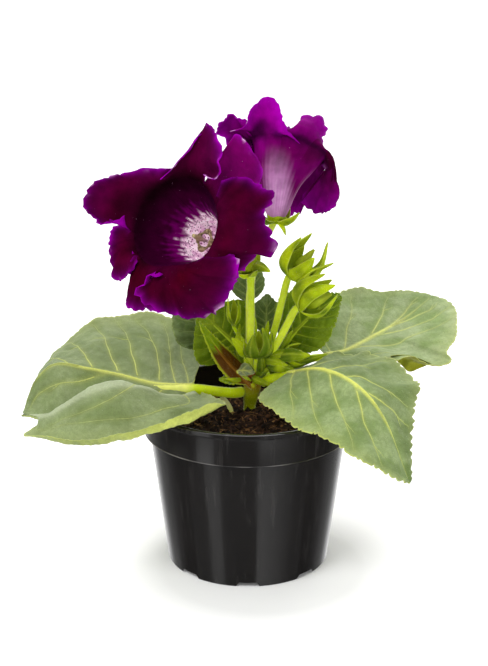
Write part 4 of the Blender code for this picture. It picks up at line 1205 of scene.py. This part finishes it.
def inner_tint(light, along, s, to_rim, to_side, angle, place, seed, edge, **others):
    """Wine lobes with violet rims, partly painted highlight, round a mouth darkened by painted
    shade, and a white, speckled throat.
    """
    patch = patches(place, 26, seed + 5)
    colour = coats(
        WINE, (PLUM, 0.55 * patch),
        (PLUM, 0.8 * np.exp(-np.minimum(to_rim, to_side + 3 * MM) / (5 * MM))),
        (MAGENTA, light * ease(s * 1.6)))
    # Painted shade: shade is 1 at the upper left, under the top lobe. There the painted
    # MOUTH_SHADOW reaches furthest over the lobes and deepest into the throat, and the white
    # throat shrinks.
    shade = 0.5 + 0.5 * np.cos(angle - math.radians(135))
    mouth = ease(0.6 - 0.6 * shade + (s - 0.06 + 0.3 * (patch - 0.5)) * (3.0 - 1.4 * shade))
    # The violet rims are partly the petals' own edge colour and partly a painted highlight where
    # edges catch the light; painted_rim_glint adds pale painted glints along them.
    rim = np.exp(-np.minimum(to_rim, to_side + 2 * MM) / (1.2 * MM)) * (s > 0.3)
    painted_rim_glint = ease((waves(place, 6, seed + 9) - 0.8) / 0.5) * np.exp(-to_rim / (0.5 * MM))
    colour = coats(MOUTH_SHADOW, (colour, mouth), (VIOLET, rim * (0.3 + 0.6 * np.clip(edge, 0, 1))),
                   (srgb(214, 160, 208), painted_rim_glint * (s > 0)))
    level = 0.65 + 0.05 * np.abs(np.sin(angle * 11 + np.sin(angle * 5))) ** 3 + (
        0.025 * waves(place, 2.0, seed)) - 0.05 * shade
    white = ease((level - along) / 0.06)
    ray = 0.5 + 0.5 * np.sin(angle * 37 + 2 * np.sin(angle * 9))
    deep = coats(srgb(122, 0, 106),
                 (srgb(56, 0, 38), ease((along - level + 0.03 * ray) / 0.17)),
                 (MOUTH_SHADOW, ease((along - 0.78) / 0.2) * (0.35 + 0.65 * shade)),
                 (srgb(246, 226, 236), white))
    return np.where((s <= 0)[..., None], deep, colour), white * (s <= 0)


def outer_1(along, s, place, seed, **others):
    """A magenta back that pales towards its stalk."""
    pale = 1 - ease((along + s - 0.55) / 0.6)
    patch = patches(place, 20, seed + 6)
    colour = mix(srgb(112, 0, 100), srgb(158, 2, 172), 0.3 * patch + 0.6 * ease(s * 1.2))
    return mix(colour, srgb(190, 140, 178), pale), pale


def outer_2(number, light, along, s, to_rim, angle, place, seed, **others):
    """A tube with pale lilac bands that streak out into magenta lobes: the bands partly its own
    paleness, partly painted light on its lit side, with painted shade under the curled lobes and
    violet rims that are partly painted highlight.
    """
    reach = along + s
    # Pale lilac bands, partly the tube's own paleness and partly painted light on its lit side.
    band = np.abs((np.degrees(angle) - 130 + 36 * reach + 60) % 120 - 60)
    wide = band / np.maximum(86 - 68 * reach, 13) + 0.07 * np.sin(angle * 31)
    pale = (1 - ease((wide - 0.1) / 1.0)) * (1 - ease((reach - 0.32) / 0.6))
    pale = np.maximum(pale, 0.9 * (1 - ease((reach - 0.05) / 0.4)))
    patch = patches(place, 18, seed + 6)
    # Painted shade under the lobes where they curl back over the tube.
    under = np.exp(-(((reach - 1.1) / 0.14) ** 2))
    if number == 1:  # painted shade below the hood over the tube, but for a streak
        under = ease((reach - 0.9) / 0.12) * (1 - ease((s - 0.3) / 0.36))
        under = under * (1 - 0.6 * np.exp(-(((np.degrees(angle) - 84) / 8) ** 2)))
    return coats(
        srgb(84, 0, 60), (srgb(140, 0, 130), 0.3 * patch + 0.7 * light * ease(reach - 0.5)),
        (srgb(44, 0, 38), 0.9 * under), (VIOLET, 0.7 * np.exp(-to_rim / (3 * MM)) * (s > 0)),
        (srgb(200, 150, 194), pale)), pale


FLOWER_1_THROAT = [(0.6, 3.6, 170.5), (-10, -3, 180), (-25, -17, 190), (-37, -34, 200)]
FLOWER_1_LOBES = [
    (-40, 40, [(-13, -52, 187), (-3, -56, 183), (7, -58, 190), (15, -58, 197),
               (9, -56, 212), (14, -56, 222), (7, -54, 226), (-2, -50, 230),
               (-13, -46, 227)]),
    (40, 65, [(1, -28, 218), (8, -18, 221), (7, -15, 230), (1, -16, 239), (-5, -20, 246),
              (-10, -24, 239), (-14, -30, 229)]),
    (65, 120, [(-22, -50, 231), (-16, -54, 231), (-12, -52, 235), (-12.5, -46, 242),
               (-14.5, -37, 250), (-19, -33, 254), (-21.5, -32, 251), (-28.5, -30, 240.5),
               (-36, -27, 230.5), (-45, -26, 223)]),
    (120, 195, [(-39, -22, 228), (-53, -18, 227), (-69, -16, 223), (-79, -16, 220),
                (-86, -20, 211), (-84, -24, 204), (-73, -28, 199), (-64, -26, 204)]),
    (195, 225, [(-65, -24, 199), (-71, -24, 196), (-72, -26, 184), (-70, -30, 170),
                (-60, -37, 175), (-57, -36, 182)]),
    (225, 262, [(-60, -30, 186), (-61, -34, 174), (-65, -38, 160), (-56, -42, 157),
                (-47, -45, 158), (-38, -47, 168)]),
    (262, 320, [(-43, -50, 179), (-54, -56, 175), (-55, -58, 170), (-46, -58, 162),
                (-35, -56, 159), (-25, -58, 156), (-15, -60, 162), (-9, -60, 171),
                (-5, -62, 180), (-4, -64, 189), (-10, -60, 194), (-22, -52, 189)]),
]
FLOWER_2_THROAT = [(15.4, 25.0, 190.1), (16, 27, 201), (18, 31, 215), (22, 38, 228)]
FLOWER_2_LOBES = [
    (-20, 40, [(-4, 34, 226), (-14, 36, 232), (-19, 40, 238), (-15, 42, 245),
               (-8, 40, 247), (-1, 34, 245)]),
    (40, 105, [(-10, 22, 241), (-2, 24, 245), (4, 26, 254.6), (10, 26, 259.4), (16, 24, 256.2),
               (19, 20, 246), (28, 18, 235)]),
    (105, 150, [(21, 34, 241), (27, 40, 240), (33, 44, 244), (40, 42, 245), (42, 40, 239),
                (41, 40, 230)]),
    (150, 215, [(41, 42, 231), (44, 44, 220), (43, 44, 212), (45, 42, 201), (47, 40, 194),
                (41, 42, 190), (35, 46, 190), (30, 50, 195)]),
    (215, 285, [(31, 52, 199), (30, 52, 190), (24, 56, 185), (18, 58, 184), (14, 56, 193)]),
    (285, 340, [(8, 50, 200), (-5, 46, 207), (-11, 40, 216), (-7, 34, 226)]),
]
FRILLS_1 = [(1.3, 1.4, 1.4), (0.3, 0.3, 0.3), (2.1, 0.7, 0.1), (0.1, 1.3, 1.5),
            (0.9, 1.0, 0.9), (1.1, 1.4, 1.1), (1.7, 1.4, 1.2)]
FRILLS_2 = [(1, 1, 1), (0.6, 0.5, 0.8), (1, 1, 0.6), (1, 1.4, 1.2), (1, 1, 1), (1, 1, 1)]
corolla("flower_1_corolla", FLOWER_1_THROAT, [3, 6.5, 8.5, 11, 14.5, 19.5, 26],
        FLOWER_1_LOBES, FRILLS_1, [0.0, 0.9, 0.15, 0.12, 0.08, 0.0, 0.0], outer_1, 61,
        dent=(283.0, 0.2, 36.0))
corolla("flower_2_corolla", FLOWER_2_THROAT, [3, 6.5, 8.5, 11, 14, 17, 20],
        FLOWER_2_LOBES, FRILLS_2, [0.7, 1.0, 0.5, 0.1, 0.4, 0.4], outer_2, 62)


def throat_path(throat):
    """(path, foot): 20 places along a throat, and its start moved in from the wall."""
    path = smooth(mm(throat), 20)
    return path, path[0] + unit(path[1] - path[0]) * 0.75 * MM


def pistil(name, throat, reach, radius):
    path, foot = throat_path(throat)
    rings, sides = 50, 16
    inside = smooth(np.vstack([foot, path[2 : int(20 * reach)]]), rings)
    radii = [radius] * 7 + [radius * 2.1, radius * 1.2]
    points, faces, _ = tube_parts(inside, radii, sides, 0.05, 2, 3)
    share = np.linspace(0, 1, rings).repeat(sides)
    piece = Piece(name + "_style")
    piece.add(points, faces, mix(srgb(222, 196, 204), srgb(196, 176, 130), ease(share * 4 - 2.8)))
    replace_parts(piece.make([POLLEN], "pollen_cream", to_node(name, points)), name)


def stamens(name, throat, reach, spread, radius, seed):
    """Four curved filaments and the ring of joined anthers, dusted with pollen."""
    path, foot = throat_path(throat)
    path[0] = foot
    ahead, side, up = frames(path)
    last = int(20 * reach) - 1
    at_foot = 1.8 * MM
    piece = Piece(name + "_ring")
    for index in range(4):
        turn = math.pi * (index + 0.5) / 2
        places = [path[i] + (at_foot + (spread - at_foot) * math.sin(math.pi / 2 * i / last))
                  * (math.cos(turn) * side[i] + math.sin(turn) * up[i])
                  for i in [0, *range(2, last + 1)]]
        points, faces, _ = tube_parts(smooth(places, 36), [radius * 1.5, radius], 10, 0, 1,
                                      index)
        piece.add(points, faces, srgb(214, 176, 198))
    rings, sides = 72, 16
    turn, around = turns(rings)[:, None], turns(sides)
    across = np.cos(turn) * side[last] + np.sin(turn) * up[last]
    swell = np.cos(2 * turn - math.pi / 2) ** 2
    fat = radius * (1.2 + 2.0 * swell)
    out = spread + 0.6 * MM * swell + fat * np.cos(around)
    ring = (path[last] + across[:, None] * out[..., None]
            + ahead[last] * (fat * np.sin(around))[..., None]).reshape(-1, 3)
    ring = ring + 0.12 * MM * waves(ring, 1.1, seed)[:, None]
    faces = grid_faces(rings + 1, sides, wrap=True) % (rings * sides)
    piece.add(ring, faces, mix(srgb(112, 92, 66), srgb(182, 160, 122),
                               patches(ring, 1.2, seed)))
    offset = to_node(name, np.vstack(piece.points))
    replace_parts(piece.make([POLLEN], "pollen_cream", offset), name)


for number, throat, spread in ((1, FLOWER_1_THROAT, 4.4), (2, FLOWER_2_THROAT, 4.2)):
    pistil(f"flower_{number}_pistil", throat, 0.75, 0.8 * MM)
    stamens(f"flower_{number}_stamens", throat, 0.6, spread * MM, 0.5 * MM, 70 + number)

# ---------------------------------------------------------------- pot and soil

POT_LOW, POT_HIGH = (np.array(corner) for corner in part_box("pot"))
RIM_RADIUS = (POT_HIGH[0] - POT_LOW[0]) / 2
POT_HEIGHT = POT_HIGH[2] - POT_LOW[2]
COLLAR_HEIGHT = 18.6 * MM
COLLAR_FOOT = POT_HEIGHT - COLLAR_HEIGHT
COLLAR_FOOT_RADIUS = RIM_RADIUS - 2.3 * MM
BODY_TOP_RADIUS = RIM_RADIUS - 5.2 * MM
FOOT_RADIUS = RIM_RADIUS - 14.7 * MM
WALL = 1.5 * MM
FLOOR = 3 * MM
POT_TINT = srgb(18, 17, 17)


def inner_radius(height):
    if height < COLLAR_FOOT:
        share = (height - FLOOR) / (COLLAR_FOOT - FLOOR)
        return FOOT_RADIUS + share * (BODY_TOP_RADIUS - FOOT_RADIUS) - WALL
    share = (height - COLLAR_FOOT) / COLLAR_HEIGHT
    return COLLAR_FOOT_RADIUS + share * (RIM_RADIUS - MM - COLLAR_FOOT_RADIUS) - WALL


def rounded(profile, radii):
    """A profile of (radius, height) whose corners are rounded by these radii in mm."""
    steps = 5
    made = [profile[0]]
    for before, corner, after, radius in zip(profile, profile[1:], profile[2:], radii):
        if not radius:
            made.append(corner)
            continue
        ends = []
        for end in (before, after):
            arm = np.subtract(end, corner)
            ends.append(corner + unit(arm) * min(radius * MM, np.linalg.norm(arm) * 0.45))
        made += [(1 - s) ** 2 * ends[0] + 2 * s * (1 - s) * np.array(corner) + s**2 * ends[1]
                 for s in np.linspace(0, 1, steps)]
    return np.array([*made, profile[-1]])


def pot_cutter():
    """The notches round the foot and the drain holes between them, as one tool."""
    cutter = bmesh.new()
    for index in range(8):
        around = 2 * math.pi * index / 8 - math.pi / 2
        out = heading(around)
        along = left_of(out)
        inner, outer = (
            [cutter.verts.new(out * reach + along * x * MM + np.array([0, 0, z * MM]))
             for x, z in ((-7.4, -1), (7.4, -1), (4.9, 2.5), (-4.9, 2.5))]
            for reach in (FOOT_RADIUS - 4.5 * MM, FOOT_RADIUS + 4.5 * MM))
        cutter.faces.new(inner)
        cutter.faces.new(outer[::-1])
        for a, b in ((0, 1), (1, 2), (2, 3), (3, 0)):
            cutter.faces.new((inner[a], inner[b], outer[b], outer[a]))
        hole = bmesh.ops.create_cone(cutter, cap_ends=True, segments=32, radius1=4 * MM,
                                     radius2=4 * MM, depth=10 * MM)
        swung = around + math.pi / 8
        bmesh.ops.translate(cutter, verts=hole["verts"],
                            vec=mm((30 * math.cos(swung), 30 * math.sin(swung), 3)))
    bmesh.ops.recalc_face_normals(cutter, faces=cutter.faces)
    mesh = bpy.data.meshes.new("pot_cutter")
    cutter.to_mesh(mesh)
    cutter.free()
    return placed("pot_cutter", mesh)


def build_pot():
    lip_foot, lip_half, lip_height = POT_HEIGHT - 2.2 * MM, 1.6 * MM, 2.2 * MM
    lip = [(RIM_RADIUS - lip_half + lip_half * math.copysign(abs(math.cos(a)) ** 0.35,
                                                             math.cos(a)),
            lip_foot + lip_height * math.sin(a) ** 0.35) for a in np.linspace(0, math.pi, 11)]
    inside = [(inner_radius(height), height)
              for height in (lip_foot - MM, COLLAR_FOOT + 2 * MM, COLLAR_FOOT - MM, 4.5 * MM)]
    profile = rounded([
        (0, FLOOR), (FOOT_RADIUS - 3 * MM, FLOOR), (FOOT_RADIUS - 3 * MM, 0),
        (FOOT_RADIUS, 0), (BODY_TOP_RADIUS, COLLAR_FOOT - 1 * MM),
        (COLLAR_FOOT_RADIUS - 0.2 * MM, COLLAR_FOOT - 0.4 * MM),
        (COLLAR_FOOT_RADIUS + 0.35 * MM, COLLAR_FOOT - 0.1 * MM),
        (COLLAR_FOOT_RADIUS + 0.04 * MM, COLLAR_FOOT + 0.3 * MM),
        (RIM_RADIUS - 1 * MM, lip_foot - 1 * MM), *lip, *inside, (0, 4.5 * MM),
    ], [0.8, 0.4, 0.6, 0.3, 0.15, 0.15, 0.2, 0.3, *[0] * len(lip), 0.6, 0.6, 0.6, 0.8])
    segments = 192
    turn = turns(segments)
    radius, height = profile.T[..., None]
    points = np.dstack([radius * np.cos(turn), radius * np.sin(turn),
                        height + 0 * turn]).reshape(-1, 3)
    centre = (POT_LOW + POT_HIGH) / 2
    centre[2] = POT_LOW[2]
    piece = Piece("pot_shell")
    piece.add(points + centre, grid_faces(len(profile), segments, wrap=True), POT_TINT)
    pot = piece.make([POT], "pot_plastic", weld=0.01 * MM)

    tool = pot_cutter()
    cut = pot.modifiers.new("cut", "BOOLEAN")
    cut.operation, cut.solver, cut.object = "DIFFERENCE", "EXACT", tool
    bpy.context.view_layer.update()
    done = bpy.data.meshes.new_from_object(pot.evaluated_get(
        bpy.context.evaluated_depsgraph_get()))
    pot.modifiers.clear()
    pot.data = done
    bpy.data.objects.remove(tool)
    done.shade_smooth()
    done.set_sharp_from_angle(angle=math.radians(38))

    # Painted highlight: the collar's foot is painted paler, most at its left and right, for the
    # thin line of light along it.
    places = np.empty(len(done.vertices) * 3)
    done.vertices.foreach_get("co", places)
    places = places.reshape(-1, 3)
    x, y, z = (places - centre).T
    collar_highlight = np.exp(-(((z - COLLAR_FOOT) / (0.3 * MM)) ** 2)) * (
        np.hypot(x, y) > COLLAR_FOOT_RADIUS - 0.1 * MM)
    collar_highlight *= ease(0.6 + 0.4 * waves(places, 14, 95))
    collar_highlight *= 0.3 + 0.7 * (x / COLLAR_FOOT_RADIUS) ** 2
    tints = rgba(mix(POT_TINT, srgb(160, 156, 152), collar_highlight))
    done.attributes["tint"].data.foreach_set("color", tints.ravel())
    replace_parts(pot, "pot")


build_pot()

CRUMB = np.array([(0, 0, 1), (0.94, 0, 0.33), (-0.47, 0.82, 0.33), (-0.47, -0.82, 0.33),
                  (0, 0, -0.6), (0.5, 0.6, -0.1)])
CRUMB_FACES = [(0, 1, 5), (0, 5, 2), (0, 2, 3), (0, 3, 1), (4, 5, 1), (4, 2, 5), (4, 3, 2),
               (4, 1, 3)]


def build_soil():
    """Moist peat: a lumpy mound with crumbs, chips and fibres, dark with tan strands."""
    low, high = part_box("potting_soil")
    edge_height = high[2] - 6 * MM
    reach = inner_radius(78.5 * MM) - 0.6 * MM
    rings, segments = 66, 170
    turn = turns(segments)
    out = reach * np.linspace(0, 1, rings)[:, None] ** 0.8
    x, y = out * np.cos(turn), out * np.sin(turn)

    def height(x, y):
        out = np.hypot(x, y) / reach
        place = np.stack([x, y, 0 * x], axis=-1)
        lumps = (0.9 * waves(place, 16, 81) + 0.75 * waves(place, 6, 82)
                 + 0.5 * waves(place, 2.6, 83))
        return edge_height + 5.4 * MM * np.clip(1 - out, 0, 1) ** 0.8 + lumps * MM * (
            1 - 0.5 * ease((out - 0.85) / 0.15))

    top = np.dstack([x, y, height(x, y)])
    skirts = []
    below_collar = COLLAR_FOOT - 2 * MM
    for level in (COLLAR_FOOT + MM, below_collar, low[2] + 0.2 * MM):
        skirt = top[-1].copy()
        skirt[:, 2] = np.minimum(skirt[:, 2], level)
        skirt[:, :2] *= (inner_radius(min(level, below_collar)) - 0.8 * MM) / reach
        skirts.append(skirt)
    points = np.vstack([top.reshape(-1, 3), *skirts])
    faces = grid_faces(rings + 3, segments, wrap=True).tolist()
    faces.append([(rings + 2) * segments + i for i in reversed(range(segments))])
    piece = Piece("soil_bed")
    piece.add(points, faces, mix(srgb(30, 20, 14), srgb(64, 45, 32),
                                 patches(points, 5, 84)))
    draw = np.random.default_rng(85)
    shades = [srgb(24, 16, 12), srgb(52, 36, 26), srgb(88, 60, 40), srgb(128, 92, 56),
              srgb(168, 128, 78), srgb(60, 44, 36)]

    def somewhere(within):
        """A place on the soil, spread evenly over this share of its area."""
        radius = reach * math.sqrt(draw.uniform(0, within))
        return radius * heading(draw.uniform(0, 2 * math.pi))

    crumbs, fibres = 2600, 1500
    for _ in range(crumbs):
        centre = somewhere(0.97)
        size = draw.choice([0.5, 0.8, 1.3, 2.2], p=[0.4, 0.35, 0.2, 0.05]) * MM
        shape = CRUMB * size * draw.uniform(0.6, 1.3, (6, 3))
        ahead = heading(draw.uniform(0, 6.28))
        aside = left_of(ahead)
        centre[2] = height(*centre[:2]) + 0.2 * size
        piece.add(shape @ [ahead, aside, (0, 0, 1)] + centre, CRUMB_FACES,
                  shades[draw.choice(6, p=[0.35, 0.3, 0.12, 0.05, 0.03, 0.15])])

    # Fibres, and chips every so often: bent strips of coir and bark.
    for index in range(fibres):
        middle = somewhere(0.93)
        longest, wide = (7, (0.6, 1.3)) if index % 7 == 0 else (11, (0.1, 0.28))
        length, wide = draw.uniform(3, longest) * MM, draw.uniform(*wide) * MM
        ahead = heading(draw.uniform(0, 6.28))
        aside = left_of(ahead)
        s = np.linspace(-0.5, 0.5, 5)
        bend = draw.normal() * 0.25
        line = middle + length * (s[:, None] * ahead + bend * (s**2)[:, None] * aside)
        out = np.maximum(np.hypot(line[:, 0], line[:, 1]), 1e-6)
        line = line * np.minimum(1, 0.96 * reach / out)[:, None]
        floor = height(line[:, 0], line[:, 1])
        lift = draw.uniform(0.0, 0.9) * MM + draw.normal() * 0.9 * MM * s
        line[:, 2] = np.maximum(floor.mean() + 0.5 * (floor - floor.mean()) + lift, floor - wide)
        points, faces, _ = tube_parts(line, [wide * 0.4, wide, wide * 0.9, wide * 0.3], 5, 0, 1,
                                      index, flat=0.45)
        piece.add(points, faces, shades[draw.choice(6, p=[0.05, 0.2, 0.3, 0.25, 0.15, 0.05])])
    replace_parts(piece.make([SOIL], "potting_soil"), "potting_soil")


build_soil()

# ---------------------------------------------------------------- studio

scene.view_settings.view_transform = "Standard"
scene.view_settings.look = "None"


def build_floor():
    mesh = bpy.data.meshes.new("studio_floor")
    size = 4.0
    mesh.from_pydata([(-size, -size, 0), (size, -size, 0), (size, size, 0), (-size, size, 0)],
                     [], [(0, 1, 2, 3)])
    floor = placed("studio_floor", mesh)
    look = Look("studio_white", Roughness=0.9, Specular_IOR_Level=0.0,
                Emission_Color=(1, 1, 1))
    look.set("Base Color", look.blend(look.noise(3, 1), (0.89, 0.89, 0.89), (0.9, 0.9, 0.9)))
    # The white table glows so that it is washed out by light, and glows less round the pot's
    # foot, which paints a shadow there.
    reach = look.node("VectorMath", {0: look.place(), 1: (0.008, -0.02, 0)},
                      operation="DISTANCE").outputs["Value"]
    look.set("Emission Strength", look.ramp(reach, (0.055, 0.05), (0.084, 0.36)))
    mesh.materials.append(look.made)
    floor.visible_glossy = False


EVEN_LIGHT = 0.8


def build_world():
    world = bpy.data.worlds.new("studio")
    scene.world = world
    world.use_nodes = True
    world.node_tree.nodes.clear()
    nodes = Nodes(world.node_tree)
    calc = nodes.math

    def band(value, low, high, soft, fade=None):
        """1 where value is between low and high, falling off over soft, or over fade above."""
        rise, fall = (
            calc("SMOOTH_MIN", calc("DIVIDE", calc("SUBTRACT", *ends), width), 1.0, 0.2)
            for ends, width in (((value, low), soft), ((high, value), fade or soft)))
        return calc("MAXIMUM", calc("MINIMUM", rise, fall), 0.0)

    split = nodes.node("SeparateXYZ", {0: nodes.node("TexCoord").outputs["Generated"]})
    x, y, z = split.outputs
    around = calc("MULTIPLY", calc("ARCTAN2", x, calc("MULTIPLY", y, -1.0)), 180 / math.pi)
    down, away = calc("MULTIPLY", z, -1.0), calc("ABSOLUTE", around)
    # The pot's body leans down and mirrors what is lower, where the first window is fainter
    # and the second brighter, and its foot mirrors the pale table.
    low = band(down, 0.46, 9.0, 0.12)
    light = 0.0
    for lit, level in (
            (band(around, -60, -38, 1.5), calc("MULTIPLY_ADD", low, -0.6, 1.1)),
            (band(around, 12, 70, 1.5, 44), calc("MULTIPLY_ADD", low, 0.38, 0.28)),
            (band(away, 100, 400, 45.0), 0.33), (band(away, 142, 400, 22.0), 0.85),
            (band(down, 0.61, 9.0, 0.06), 0.1), (band(z, 0.3, 5.0, 0.25), 1.1)):
        light = calc("MULTIPLY_ADD", lit, level, light)
    light = calc("ADD", calc("MINIMUM", light, 1.5), 0.05)
    light = calc("MULTIPLY_ADD", band(z, 0.84, 5.0, 0.05), 4.0, light)

    # Gloss mirrors these windows, the rest gets even light, and the backdrop is white.
    path = nodes.node("LightPath")
    glossy, camera = path.outputs["Is Glossy Ray"], path.outputs["Is Camera Ray"]
    strength = calc("MULTIPLY_ADD", glossy, calc("SUBTRACT", light, EVEN_LIGHT), EVEN_LIGHT)
    strength = calc("MULTIPLY_ADD", camera, calc("SUBTRACT", 1.0, strength), strength)
    background = nodes.node("Background", {"Color": (1, 1, 1), "Strength": strength})
    nodes.node("OutputWorld", {"Surface": background.outputs[0]})


def build_light(name, place, aim, size, power):
    data = bpy.data.lights.new(name, "AREA")
    data.shape = "DISK"
    data.size = size
    data.energy = power
    made = placed(name, data)
    made.location = place
    made.rotation_euler = (Vector(aim) - Vector(place)).to_track_quat("-Z", "Y").to_euler()
    made.visible_glossy = False


def build_camera():
    data = bpy.data.cameras.new("camera")
    data.lens = 86.65
    data.sensor_width = 36
    made = placed("camera", data)
    made.location = (0, -0.838, 0.4084)
    made.rotation_euler = (math.radians(90 - 18.26), 0, math.radians(0.15))
    scene.camera = made


build_floor()
build_world()
build_light("key", (-1.4, -1.6, 2.5), (0, 0, 0.13), 1.7, 54)
build_light("rim", (0.5, 0.9, 1.0), (0, 0, 0.15), 0.7, 6)
build_camera()


def corners(box):
    return [[float(value) for value in corner] for corner in box]
